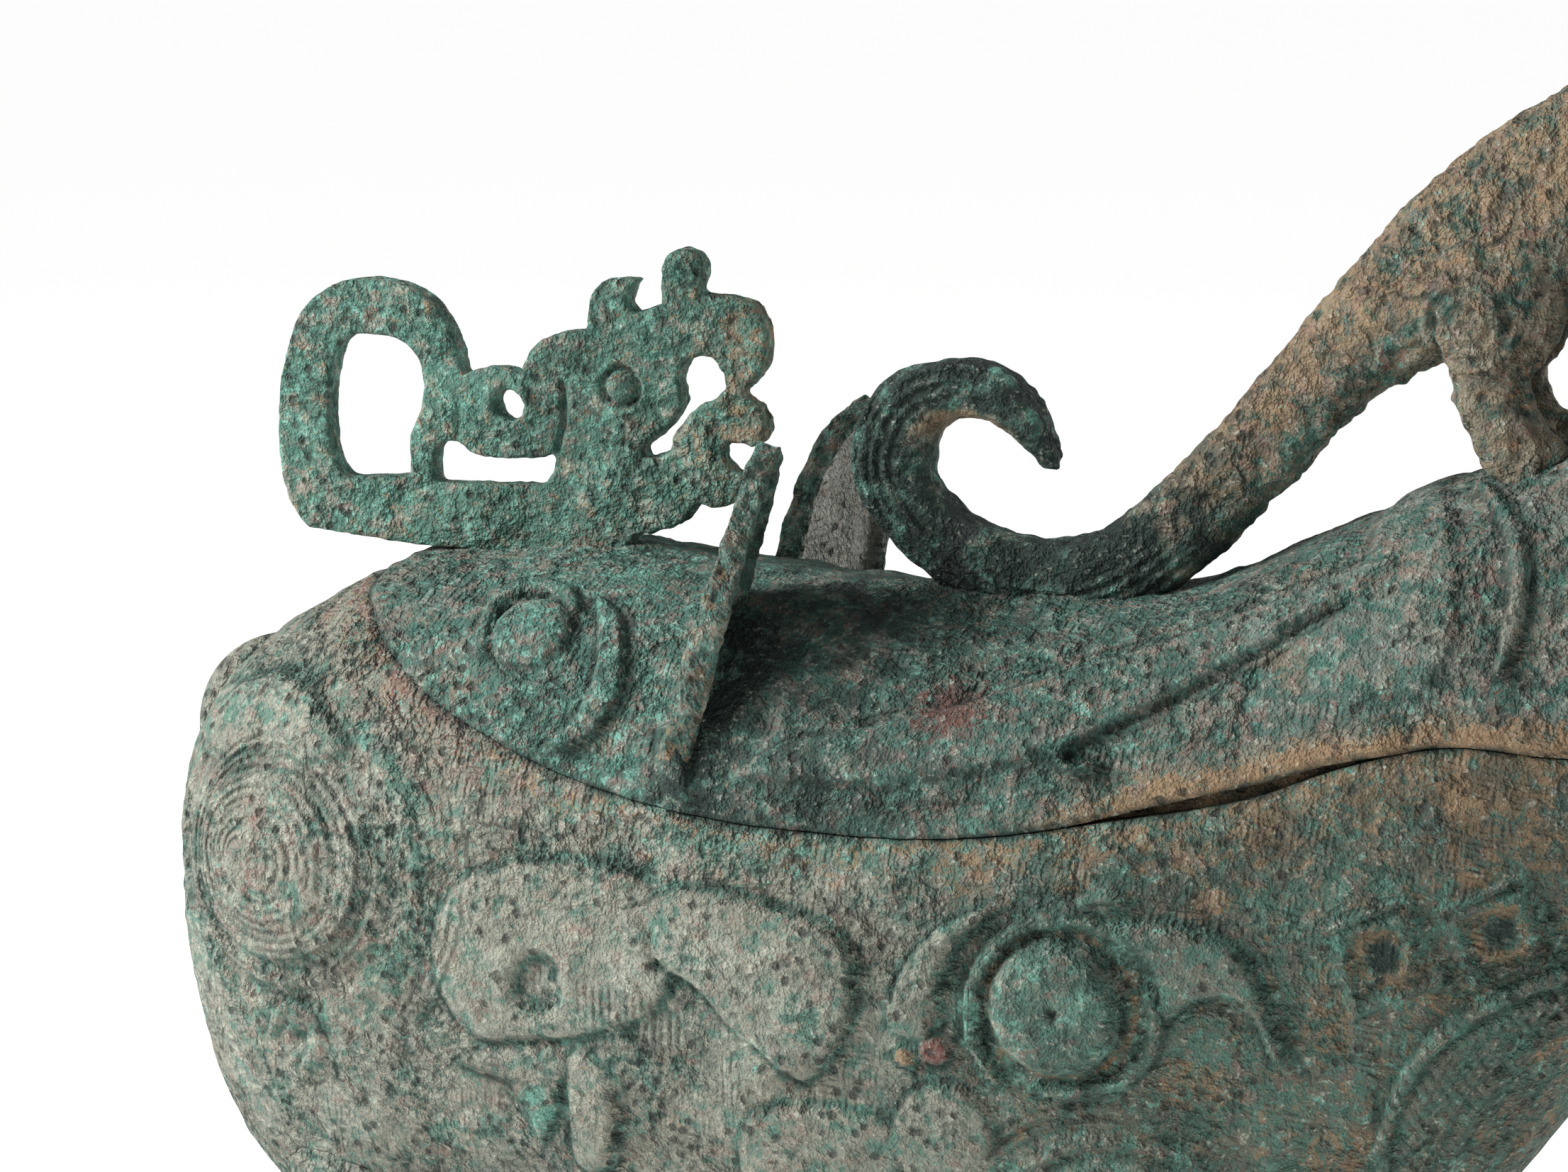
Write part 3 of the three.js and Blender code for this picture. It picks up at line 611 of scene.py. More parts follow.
def limb_skin(points, depth, half, steps, sides, y=0.0, square=2.0):
    """A tube along a path of [x, z] points, with a depth and a half width at each share."""
    path = curve_through(points, 12)
    spans = np.linalg.norm(np.diff(path, axis=0), axis=1)
    walked = np.concatenate([[0], np.cumsum(spans)])
    turn = np.pi * np.arange(1, steps) / steps
    even = (1 - np.cos(turn)) / 2 if steps < 30 else np.arange(1, steps) / steps
    share = np.interp(even * walked[-1], walked, np.linspace(0, 1, len(path)))
    x = np.interp(even * walked[-1], walked, path[:, 0])
    z = np.interp(even * walked[-1], walked, path[:, 1])
    ahead = np.gradient(np.stack([x, z], axis=1), axis=0)
    ahead /= np.linalg.norm(ahead, axis=1, keepdims=True)
    turn = 2 * np.pi * np.arange(sides) / sides
    rise = bend(np.sin(turn), 2 / square)[None] * depth(share)[:, None]
    rings = np.stack([x[:, None] - ahead[:, 1:2] * rise,
                      y - bend(np.cos(turn), 2 / square)[None] * half(share)[:, None],
                      z[:, None] + ahead[:, 0:1] * rise], axis=-1)
    return rings, [np.array([path[0, 0], y, path[0, 1]]), np.array([path[-1, 0], y, path[-1, 1]])]


LEG_HEIGHT = 112.0
STANCE = 36.0
LEG_RISE = [0, 0.069, 0.125, 0.26, 0.42, 0.66, 1]
leg_reach = line(list(zip(LEG_RISE, [19, 18.5, 12.5, 12, 15.5, 22, 20])))
leg_half = line(list(zip(LEG_RISE, [15, 14.5, 11, 11, 13, 13.5, 8])))


def mirrored(shell):
    """A skin's mirror image on the beast's other side."""
    rings, poles = shell
    turned = np.array([1, -1, 1])
    return (rings * turned)[:, ::-1], [pole * turned for pole in poles]


def leg_skin(x, lean, side):
    """A leg with a clawed foot, from the ground up into the bowl."""
    shift = line(list(zip(LEG_RISE, [5, 4, 1, 0, lean, lean * 2, lean * 2.4])))
    rise = np.concatenate([[0.0, 0.0], np.linspace(0.012, 1, 84)])
    draw_in = np.concatenate([[0.8, 0.955], np.ones(84)])
    turn = 2 * np.pi * np.arange(64) / 64
    foot = 1 - smooth(0.06, 0.12, rise)
    toes = 1 + 0.1 * np.outer(foot, np.cos(5 * turn) * (np.cos(turn) > 0.1))
    claws = -0.9 * np.outer(foot, np.maximum(np.cos(5 * turn + np.pi), 0) * (np.cos(turn) > 0.1))
    ankle = 0.7 * bell(rise - 0.2, 0.012) + 0.7 * bell(rise - 0.245, 0.012)
    dx = np.cos(turn)[None] * (leg_reach(rise) * draw_in + ankle)[:, None] * toes
    dy = np.sin(turn)[None] * (leg_half(rise) * draw_in + ankle)[:, None]
    dx = dx + claws * np.cos(turn)[None]
    dy = dy + claws * np.sin(turn)[None]
    rings = np.stack([x + shift(rise)[:, None] + dx, -STANCE + dy,
                      np.repeat(rise[:, None] * LEG_HEIGHT, 64, axis=1)], axis=-1)
    worn = crust(rings.reshape(-1, 3), np.zeros(rings.size // 3), 7).reshape(rings.shape[:2])
    keep = smooth(0.02, 0.1, rise)[:, None] * worn
    rings[..., 0] += keep * np.cos(turn)
    rings[..., 1] += keep * np.sin(turn)
    poles = [np.array([x + shift(0), -STANCE, 0.0]), np.array([x + shift(1), -STANCE, LEG_HEIGHT])]
    return (rings, poles) if side > 0 else mirrored((rings, poles))


def open_side(shell):
    """Turns a skin whose faces look inwards."""
    rings, poles = shell
    return rings[:, ::-1], poles


for number, (x, lean) in enumerate([(-150, -4), (27, 2)]):
    for side in (1, -1):
        carve(bowl, joined(f"leg_{number}_{side}", [open_side(leg_skin(x, lean, side))]), "UNION")
beak_path = [(-186, 189), (-200, 188), (-209, 182), (-212, 171), (-207, 158), (-190, 149)]
beak_depth = swelling([6.5, 7.4, 7.4, 7.3, 7.6, 7])
beak_half = swelling([6, 9, 10, 9, 8, 6])
carve(bowl, joined("beak", [limb_skin(beak_path, beak_depth, beak_half, 48, 40)]), "UNION")


def even_sides(x, y, z):
    return np.ones_like(z)


def hollow_skin(name, inset, spacing=4.0, sides=72):
    """A plain closed skin that lies an inset inside the trunk's."""
    return joined(name, [trunk_rings(inset, lambda x: np.full_like(x, spacing), sides, even_sides)])


carve(bowl, hollow_skin("bowl_hollow", WALL), "DIFFERENCE")


def paint(piece, **shares):
    """Keeps a share or a vector for each of a piece's points, for its material to read."""
    count = len(piece.data.vertices)
    for name, values in shares.items():
        values = np.asarray(values, np.float32)
        flat = values.shape in ((), (count,))
        values = np.broadcast_to(values, (count,) if flat else (count, 3))
        layer = piece.data.attributes.new(name, "FLOAT" if flat else "FLOAT_VECTOR", "POINT")
        layer.data.foreach_set("value" if flat else "vector", values.ravel())


def plan_of(points):
    """How far along and up the trunk places are, in millimetres of its skin."""
    x = np.linspace(RUMP_END + 0.01, SNOUT_END - 0.01, 2000)
    half = section(x)[3]
    along = np.concatenate([[0], np.cumsum(np.hypot(np.diff(x), np.diff(half)))])
    walked = np.interp(points[:, 0], x, along)
    outward = points[:, 2] - np.abs(points[:, 1]) * 0.5
    return np.column_stack([walked, outward, np.zeros(len(points))])


def incise(points, seen, put, chains):
    """How far places are across the nearest cut line, and which are within its reach."""
    p, q = seen(points)
    across = np.full(len(points), 3.0)
    nearest = np.full(len(points), 1e9)
    for chain in chains:
        path = curve_through(put(chain), 5)
        low, high = path.min(axis=0) - 4, path.max(axis=0) + 4
        near = (p > low[0]) & (p < high[0]) & (q > low[1]) & (q < high[1])
        away, side, _ = from_chain(p[near], q[near], path)
        closer = away < nearest[near]
        picked = np.flatnonzero(near)[closer]
        nearest[picked] = away[closer]
        across[picked] = (side * away)[closer]
    return across, 1 - smooth(1.2, 2.4, nearest)


def straight(points):
    return points[:, 0], points[:, 2]


def linear(hex_colour):
    """An sRGB hex colour as linear light."""
    parts = [int(hex_colour[i:i + 2], 16) / 255 for i in (1, 3, 5)]
    return tuple([c / 12.92 if c <= 0.04045 else ((c + 0.055) / 1.055) ** 2.4 for c in parts] + [1.0])


def add(tree, kind, inputs, **settings):
    """Adds a node with its settings, and sets or links its inputs."""
    made = tree.nodes.new(kind)
    for name, value in settings.items():
        setattr(made, name, value)
    for key, value in inputs.items():
        if isinstance(value, bpy.types.NodeSocket):
            tree.links.new(value, made.inputs[key])
        else:
            made.inputs[key].default_value = value
    return made


def patinated_bronze(name, ground, pale, teal_ground, tan_ground, mottle=0.3):
    """Cast tin bronze after long burial. Malachite and azurite green grow on a tin-rich grey skin,
    soil is bound into the crust, and cuprite shows red where the crust has come off. The crust is
    dull and gritty, so light spreads over it evenly and only the grain shows. Its colour also has
    painted shade in the crust's low grains and in the grooves of lines, and painted highlights on its high
    grains."""
    material = bpy.data.materials.new(name)
    material.use_nodes = True
    tree = material.node_tree
    tree.nodes.clear()
    place = add(tree, "ShaderNodeTexCoord", {}).outputs["Object"]

    def share(attribute, output="Fac"):
        return add(tree, "ShaderNodeAttribute", {}, attribute_name=attribute).outputs[output]

    def grains(size, detail=4.0, rough=0.6, warp=0.0):
        return add(tree, "ShaderNodeTexNoise", {"Vector": place, "Scale": 1000 / size, "Detail": detail,
                                                "Roughness": rough, "Distortion": warp}).outputs["Fac"]

    def between(value, low, high):
        return add(tree, "ShaderNodeMapRange", {"Value": value, "From Min": low, "From Max": high},
                   interpolation_type="SMOOTHSTEP").outputs["Result"]

    def maths(operation, a, b=0.0, c=0.0):
        return add(tree, "ShaderNodeMath", {0: a, 1: b, 2: c}, operation=operation).outputs["Value"]

    def times(a, b):
        return maths("MULTIPLY", a, b)

    def plus(a, b):
        return maths("ADD", a, b)

    def on_vector(operation, inputs):
        return add(tree, "ShaderNodeVectorMath", inputs, operation=operation).outputs["Vector"]

    def over(under, hex_colour, amount):
        mixed = add(tree, "ShaderNodeMix", {"Factor": amount, 6: under, 7: linear(hex_colour)},
                    data_type="RGBA")
        return mixed.outputs[2]

    raised = share("raised")
    teal = share("teal")
    soil = share("soil")
    tan = share("tan")
    broad = grains(30, 3)
    middling = grains(7, 6, 0.6, 0.2)
    crusty = grains(2.5, 3, 0.6)
    grit = grains(1.15, 2, 0.6)
    sand = grains(0.6, 1, 0.5)
    open_ground = maths("SUBTRACT", 1.0, times(raised, 0.75))
    eaten = times(between(grains(19, 5, 0.62), 0.44, 0.6), open_ground)
    pores = add(tree, "ShaderNodeTexVoronoi", {"Vector": place, "Scale": 1000 / 4.2, "Randomness": 1.0})
    pores = plus(pores.outputs["Distance"], times(grit, 0.35))
    pores = times(between(pores, 0.5, 0.3), between(broad, 0.4, 0.52))
    level = plus(times(crusty, 0.7), times(middling, 0.3))

    drawn = share("drawn", "Vector")
    parts = add(tree, "ShaderNodeSeparateXYZ", {"Vector": drawn})
    angle = maths("DIVIDE", maths("ARCTAN2", parts.outputs["Y"], parts.outputs["X"]), 2 * math.pi)
    phase = times(maths("SUBTRACT", parts.outputs["Z"], angle), 2 * math.pi)
    lines = times(maths("COSINE", phase), times(share("lined"), 0.5))
    lines = times(lines, between(grains(9, 5, 0.7), 0.38, 0.56))
    off_line = maths("ABSOLUTE", share("incised"))
    notch = times(between(off_line, 0.95, 0.1), share("incised_reach"))
    notch = times(notch, times(between(grains(9, 5), 0.38, 0.58), 0.6))

    plan = share("plan", "Vector")
    cell = on_vector("SCALE", {0: plan, "Scale": 1 / 7.0})
    cell = on_vector("FRACTION", {0: cell})
    cell = on_vector("SUBTRACT", {0: cell, 1: (0.5, 0.5, 0.5)})
    cell = add(tree, "ShaderNodeSeparateXYZ", {"Vector": cell})
    square = maths("MAXIMUM", maths("ABSOLUTE", cell.outputs["X"]), maths("ABSOLUTE", cell.outputs["Y"]))
    wound = maths("DIVIDE", maths("ARCTAN2", cell.outputs["Y"], cell.outputs["X"]), 2 * math.pi)
    thunder = maths("COSINE", times(maths("SUBTRACT", times(square, 5.0), wound), 2 * math.pi))
    kept = times(share("thunder"), between(grains(17, 4), 0.46, 0.62))
    thunder = times(thunder, times(kept, 0.26))
    carved = maths("SUBTRACT", plus(lines, thunder), notch)

    colour = over(linear(ground), pale, between(level, 0.48, 0.62))
    colour = over(colour, "#7d7768", times(between(broad, 0.44, 0.6), 0.45))
    # The second colour: tan soil on the lid's lip, the knob, the climbing beast and the horns; painted shade
    # on the bowl and painted light on the far ear's inner face.
    colour = over(colour, tan_ground, times(tan, between(middling, 0.3, 0.5)))
    stains = grains(15, 5, 0.62, 0.5)
    colour = over(colour, "#454b45", times(between(stains, 0.5, 0.6), mottle))
    colour = over(colour, "#80694f", times(between(stains, 0.44, 0.34), mottle * 0.7))
    colour = over(colour, pale, times(between(raised, 0.55, 0.95), 0.3))
    low = maths("SUBTRACT", 0.5, level)
    wet = plus(times(teal, 0.22), times(low, 0.9))
    wet = plus(wet, times(eaten, 0.06))
    patches = between(plus(grains(8, 8, 0.74, 0.5), wet), 0.54, 0.72)
    colour = over(colour, teal_ground, times(patches, 0.8))
    blush = between(plus(grains(5, 7, 0.76, 0.4), times(share("cuprite"), 0.09)), 0.53, 0.66)
    colour = over(colour, "#80685f", times(blush, 0.7))
    bright = between(plus(grains(3.0, 7, 0.78, 0.4), times(teal, 0.1)), 0.6, 0.68)
    colour = over(colour, "#74ad9c", times(bright, 0.7))
    earth = between(plus(grains(3.6, 8, 0.78, 0.7), times(soil, 0.17)), 0.6, 0.72)
    colour = over(colour, "#94785a", times(earth, 0.8))
    red = between(plus(grains(2.0, 6, 0.78, 0.3), times(share("cuprite"), 0.14)), 0.62, 0.69)
    colour = over(colour, "#713f39", times(red, 0.75))
    # The deep share darkens: dark patina and dirt on some pieces, painted shade and painted shadow on
    # others.
    colour = over(colour, "#24322d", times(share("deep"), between(middling, 0.7, 0.36)))
    # Painted shade in the crust's low grains, deepest where it is eaten.
    painted_hollow_shade = times(between(crusty, 0.5, 0.36), plus(times(eaten, 0.75), 0.15))
    colour = over(colour, "#252b26", painted_hollow_shade)
    # Painted highlight on the crust's high grains.
    painted_grain_highlight = plus(times(grit, 0.6), times(level, 0.4))
    colour = over(colour, "#c8cbbd", times(between(painted_grain_highlight, 0.55, 0.67), 0.4))
    # Painted shade along the cut lines.
    colour = over(colour, "#252b26", times(notch, 0.2))
    colour = over(colour, "#2a302b", times(pores, 0.75))
    # Darker in the grooves of the cast lines and the thunder pattern: painted shade, not wear.
    worn = between(carved, -0.05, -0.5)
    colour = over(colour, "#3a453d", times(worn, 0.5))

    rough = plus(times(eaten, 4.6), plus(times(open_ground, 1.0), 0.5))
    height = times(crusty, rough)
    height = plus(height, times(grit, plus(times(eaten, 1.4), 1.0)))
    height = plus(height, times(sand, 0.6))
    height = plus(height, times(middling, 1.6))
    height = maths("SUBTRACT", plus(height, carved), times(pores, 0.8))
    relief = add(tree, "ShaderNodeBump", {"Height": height, "Strength": 1.0, "Distance": 0.001})
    shader = add(tree, "ShaderNodeBsdfPrincipled", {
        "Base Color": colour, "Metallic": 0.0, "Roughness": 0.82, "Specular IOR Level": 0.35,
        "Normal": relief.outputs["Normal"]})
    add(tree, "ShaderNodeOutputMaterial", {"Surface": shader.outputs["BSDF"]})
    return material


def in_order(layers, count):
    """Lays drawn lines over each other: each layer is which points, their drawing and their depth."""
    drawn = np.zeros((count, 3))
    drawn[:, 0] = 1
    lined = np.zeros(count)
    for which, vector, depth in layers:
        drawn[which] = vector
        lined[which] = depth
    return drawn, lined


def bowl_lines(points):
    """The fine lines cast in the bowl: the haunch's coils, the lines round forms and the hatching."""
    layers = []
    p, q = haunch_seen(points)
    near = (np.hypot(p, q) < 54) & (points[:, 0] < -110) & (points[:, 2] > 100)
    core = haunch_put([(-180, 157)])[0]
    r = np.hypot(p, q) / 31.0
    for _ in range(3):
        drift = 1 - np.clip(r, 0, 1)
        dp, dq = p - core[0] * drift, q - core[1] * drift
        r = np.hypot(dp, dq) / 31.0
    ringed = smooth(0.12, 0.25, r) * (1 - smooth(0.9, 0.96, r)) + 0.6 * smooth(1.16, 1.22, r) * (
        1 - smooth(1.45, 1.6, r)) * smooth(-6, 10, p)
    layers.append((near, np.column_stack([dp, dq, r * 31.0 / 2.2])[near], (0.95 * ringed)[near]))
    x, z = points[:, 0], points[:, 2]
    near = (x > -143) & (x < -116) & (z > 112) & (z < 172) & (np.hypot(p, q) > 48)
    around = inside(x[near], z[near], BIRD_HEAD)
    depth = 0.9 * smooth(-10.5, -8.0, around) * (1 - smooth(-0.6, 0.6, around))
    layers.append((near, np.column_stack([np.ones(near.sum()), np.zeros(near.sum()), around / 2.0]), depth))
    near = (x > -99) & (x < -62) & (z > 125) & (z < 142)
    depth = 0.8 * smooth(-99, -95, x[near]) * (1 - smooth(-72, -64, x[near] + (142 - z[near]) * 0.4)) * (
        smooth(125, 128, z[near]) * (1 - smooth(138, 141, z[near])))
    layers.append((near, np.column_stack([np.ones(near.sum()), np.zeros(near.sum()), x[near] / 1.9]), depth))
    sp, sq = shoulder_seen(points)
    r = np.hypot(sp, sq)
    near = r < 40
    depth = 0.7 * smooth(3, 6, r) * (1 - smooth(24, 26, r))
    depth = depth + 0.7 * smooth(29, 31, r) * (1 - smooth(37, 39, r))
    layers.append((near, np.column_stack([sp, -sq, r / 2.7])[near], depth[near]))
    near = (x > 70) & (z < 200)
    slant = (x * 0.55 + z * 0.35) / 1.6
    layers.append((near, np.column_stack([np.ones(near.sum()), np.zeros(near.sum()), slant[near]]),
                   0.7 * smooth(0.9, 1.5, throat_relief(points)[near]) * smooth(70, 78, x[near])))
    return in_order(layers, len(points))


BOWL_CUTS = [
    [(-86, 158), (-69, 164), (-57.7, 162.6), (-41.4, 159.6), (-34.2, 154.5), (-32.6, 148), (-34.8, 138),
     (-38.8, 130), (-45, 122.6), (-50, 124.2), (-57.8, 130), (-63.5, 134.4), (-69.2, 140.2), (-77, 144.4)],
    [(-27.8, 138.5), (-26.2, 146.4), (-22.4, 154.4), (-14.8, 162.2), (-3.8, 167.4)],
    [(-14.8, 137.5), (-13.4, 147), (-9.6, 156.8), (-2.8, 163)],
    [(8, 167), (19.7, 168.2), (31.6, 168.2), (42.6, 166.4), (49.5, 161), (53.8, 152.5), (56, 144),
     (60, 134)],
    [(31.5, 143.2), (37, 147.6), (44, 148.6), (48.4, 145), (52, 137)],
    [(-10.4, 137.6), (-10.6, 148.4), (-6, 159), (1.6, 165)],
    [(-6.2, 139), (-6.4, 149), (-2.2, 157.5), (4.6, 162)],
    [(31.8, 143), (29.6, 134.6), (22, 127.6), (11, 124.6), (2, 126)],
    [(-203, 178), (-190, 175), (-178, 178), (-164, 178), (-153, 182)],
    [(-178.5, 117), (-173, 126.4), (-164.5, 124.8), (-160.6, 116)],
    [(-160, 110), (-165, 106), (-172, 107)],
    [(-130, 117), (-118, 124), (-101, 126.4)], [(-128, 116), (-115, 112), (-108, 99), (-102, 116)],
    [(-89, 122), (-87.6, 110), (-92, 93)], [(-102.5, 94), (-103.4, 110)],
    [(-9, 107), (-2, 114.6), (11, 120), (20, 121), (29, 118), (36.4, 112.6)],
    [(73, 120), (77, 135), (85, 147), (98, 156.5), (112, 163), (128, 174), (142, 188)],
]
at = places_of(bowl)
along, up = at[:, 0], at[:, 2]
worked, ditch = beside_forms(bowl_relief, at)
drawn, lined = bowl_lines(at)
across, reach = incise(at, straight, np.array, BOWL_CUTS)
reach = reach * smooth(20, 40, np.abs(at[:, 1]))
rim = seam(along) - up
eye_away = np.hypot(along - 10, up - 146)
haunch_away = np.hypot(along + 172, up - 158)
green = 0.75 * bell(np.maximum(rim, 0), 11) * smooth(-190, -60, along)
green = np.maximum(green, 0.9 * bell(eye_away - 18, 5.5))
green = np.maximum(green, 0.55 * bell(haunch_away - 36, 6))
green = np.maximum(green, 0.5 * smooth(-45, 20, along))
earthy = 0.5 * bell(rim - 6, 7) + 0.5 * (1 - smooth(0.1, 0.8, worked)) * smooth(-40, 60, along)
outer = smooth(0.9, 0.96, outness(at))
ground = (1 - smooth(0.2, 0.9, worked)) * (1 - smooth(0.1, 0.4, lined)) * smooth(60, 80, up)
# Painted shade: the bowl's colour grows darker towards the great head, away from the light on the left. It
# darkens through the deep and second-colour shares, and gives a little more cuprite red to the lit rump end.
painted_falloff_shade = 0.75 * smooth(-70, 40, along) + 0.25 * smooth(40, 110, along)
deep = 0.25 * bell(eye_away - 18, 6) + 0.4 * painted_falloff_shade
deep = deep + 0.3 * bell(rim - 10, 14) * smooth(-60, 0, along)
# Darker along the seam: dirt in the joint, with painted shade of the gap.
joint = bell(np.maximum(rim, 0), 1.0)
red = 0.35 * bell(haunch_away, 26)
red = red + 0.7 * bell(np.maximum(rim, 0), 9) * (1 - smooth(-150, -60, along))
for x, z in ((74.5, 160.5), (97.5, 166.5)):
    pit_away = np.hypot(along - x, up - z)
    # The throat's pits: darker with dirt and with painted shade.
    joint = np.maximum(joint, 2.0 * bell(pit_away, 3.6))
    earthy = np.maximum(earthy, 1.2 * bell(pit_away - 5, 2.4))
earthy = np.maximum(earthy, 1.1 * bell(eye_away - 15.4, 0.9))
earthy = np.maximum(earthy, 1.8 * np.exp(-(np.hypot(along + 23.2, up - 131.6) / 2.2) ** 4))
streaks = smooth(0.0, 0.5, lumps(at, 13, 71)) * smooth(-50, 20, along)
earthy = earthy + 0.42 * streaks * (1 - smooth(0.5, 1.5, worked))
green = np.maximum(green, 1.6 * np.exp(-(np.hypot(along - 66, up - 163) / 3) ** 4))
green = np.maximum(green, 0.8 * (1 - smooth(13, 16, eye_away)))
deep = np.maximum(deep, 0.6 * (1 - smooth(13, 16, eye_away)))
deep = np.maximum(deep, 2.0 * np.exp(-(np.hypot(along - 9.3, up - 145.4) / 1.3) ** 2))
green = np.maximum(green, 1.6 * np.exp(-((along + 9.5) ** 2 + ((up - 143) * 0.5) ** 2) / 22))
red = np.maximum(red, 1.5 * np.exp(-(np.hypot(along + 16.3, up - 134.2) / 3.6) ** 4))
# Darker and greener beside raised forms: green patina there, with painted shade round the forms.
deep = np.maximum(np.maximum(deep, joint), 0.85 * ditch)
green = np.maximum(green, 0.9 * ditch)
green = green + 1.3 * np.exp(-(((along + 108.5) / 5) ** 2 + ((up - 109) / 6) ** 2) ** 2)
earthy = earthy + 0.4 * bell(rim - 1.6, 1.6)
red = red + 0.1 * (1 - painted_falloff_shade)
calm = 0.5 * smooth(-70, 40, along)
paint(bowl, cuprite=red, raised=np.maximum(calm, 0.8 * smooth(0.5, 1.6, worked)),
      teal=np.maximum(green, 0.15), soil=earthy, tan=painted_falloff_shade, deep=deep, drawn=drawn,
      lined=lined * outer, incised=across, incised_reach=reach * outer, plan=plan_of(at),
      thunder=ground * outer)
bowl.data.materials.clear()
# The bowl's second colour, #4c5246, is the painted shade that darkens it towards the great head.
bowl.data.materials.append(
    patinated_bronze("buried_bronze_grey_green", "#80857a", "#9ea293", "#4d7a6c", "#4c5246"))

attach(bowl, "root")
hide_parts("vessel_body")

# The lid's shell: the rear mask, the back and the top of the great head, cast in one. It sits on
# the rim, and it stands a little proud of it over the shoulder, where it has warped.


def mask_relief(points):
    """The mask at the back of the lid: its eye under a thick rim, its jowl and its scales."""
    x, z = points[:, 0], points[:, 2]
    near = (x < -70) & (x > -175)
    p, q = mask_seen(points[near])
    eye = mask_put([(-117.6, 210.0)])[0]
    dp, dq = p - eye[0], q - eye[1]
    r = np.hypot(dp, dq)
    form = 3.6 * np.sqrt(np.clip(1 - (r / 9.4) ** 2, 0, 1))
    form = form + pit(p, q, mask_put([(-121.5, 212.3)])[0], 2.0, 1.3)
    rim = curve_through(mask_put([(-127.0, 205.0), (-129.2, 210.0), (-128.2, 214.5), (-123.4, 217),
                                  (-115, 217), (-109.5, 214.5)]), 6)
    form = np.maximum(form, rib(p, q, rim, 2.4, 2.0, 0.5))
    form = form - 0.9 * bell(r - 10.2, 1.2) * smooth(-0.2, 0.6, -dq / np.maximum(r, 1))
    for at, radius, depth in (((-122.7, 203.1), 2.2, 1.2), ((-126.6, 202.5), 1.6, 0.9),
                              ((-118.7, 198.3), 1.5, 0.8), ((-116.3, 198.4), 1.2, 0.8)):
        form = form + pit(p, q, mask_put([at])[0], radius, depth)
    jowl = curve_through(mask_put([(-106, 216.5), (-99.2, 214), (-94.7, 208.1), (-93.1, 200.7),
                                   (-95.3, 194.1), (-101.3, 189.2), (-108.5, 188.9), (-104.5, 191.8),
                                   (-101.0, 197.5), (-100.2, 204.5), (-102.3, 211.0)]), 4, True)
    flat = plate(p, q, jowl, 2.1, 1.4)
    rope = curve_through(mask_put([(-99, 213), (-94.8, 206), (-93.8, 199), (-97, 192.5),
                                   (-103, 189.8), (-108.5, 189)]), 8)
    away, _, share = from_chain(p, q, rope)
    twist = 0.5 * np.cos((share * 42 + away * 0.5) / 2.4 * 2 * np.pi)
    flat = flat + twist * smooth(0.25, 0.4, share) * (1 - smooth(2.4, 3.4, away)) * smooth(0.8, 1.6, flat)
    form = np.maximum(form, flat)
    for chain in ([(-152.4, 204.8), (-149.5, 207), (-144.5, 208.9)],
                  [(-141.6, 198.3), (-138.5, 201.3), (-132.9, 201.6)],
                  [(-131.5, 192.6), (-129, 196), (-124, 198)], [(-117.6, 188.3), (-114.5, 191.8)],
                  [(-155.5, 214.0), (-151, 216.3)], [(-144.5, 208.9), (-138.5, 201.3)],
                  [(-132.9, 201.6), (-129, 196)], [(-102.8, 188.1), (-93.7, 186.4)]):
        form = form + cut(p, q, curve_through(mask_put(chain), 5), 0.75, 0.55)
    return spread(near, form)


def lid_flank_relief(points):
    """The long wing band with its hooked groove along the lid's side, and the band on the neck."""
    x, z = points[:, 0], points[:, 2]
    near = (x > -84) & (x < 130)
    p, q = band_seen(points[near])
    wing = curve_through(band_put([(-64, 187), (-50, 195), (-25.4, 200.9), (-1.0, 208.8), (23.5, 217.2),
                                   (45, 226.5), (70, 238), (66, 231), (50, 222.5), (33, 212.2),
                                   (22, 205.4), (8, 197.6), (-8, 192.2), (-28, 188), (-48, 185.6)]),
                         4, True)
    form = plate(p, q, wing, 1.9, 3.4)
    hook = curve_through(band_put([(56.5, 227.2), (45.1, 219.9), (33.0, 212.4), (20, 205), (8, 198.6),
                                   (6, 195.2), (9.6, 193.2), (13.6, 194.6)]), 6)
    form = np.maximum(form, rib(p, q, hook, 1.5, 2.3, 0.6))
    groove = curve_through(band_put([(57, 225), (46, 217.6), (34, 210.2), (22, 203), (14, 197.8)]), 6)
    form = form + cut(p, q, groove, 1.4, 1.1)
    post = curve_through(band_put([(-80, 193), (-77, 186), (-75, 181.5)]), 5)
    form = np.maximum(form, rib(p, q, post, 3.4, 1.8, 0.8))
    arc = curve_through(band_put([(84, 251), (90.5, 248.4), (95.6, 241), (96.8, 231), (94.4, 219.1)]), 6)
    form = np.maximum(form, rib(p, q, arc, 2.0, 1.5, 0.5))
    form = form + pit(p, q, band_put([(70.6, 224.9)])[0], 3.0, 0.8)
    upper = curve_through(band_put([(64, 246), (74, 249), (82, 243), (86, 231), (83, 217), (72, 212),
                                    (58, 214), (52, 222), (62, 230)]), 4, True)
    form = np.maximum(form, plate(p, q, upper, 1.0, 4.0))
    return spread(near, form)


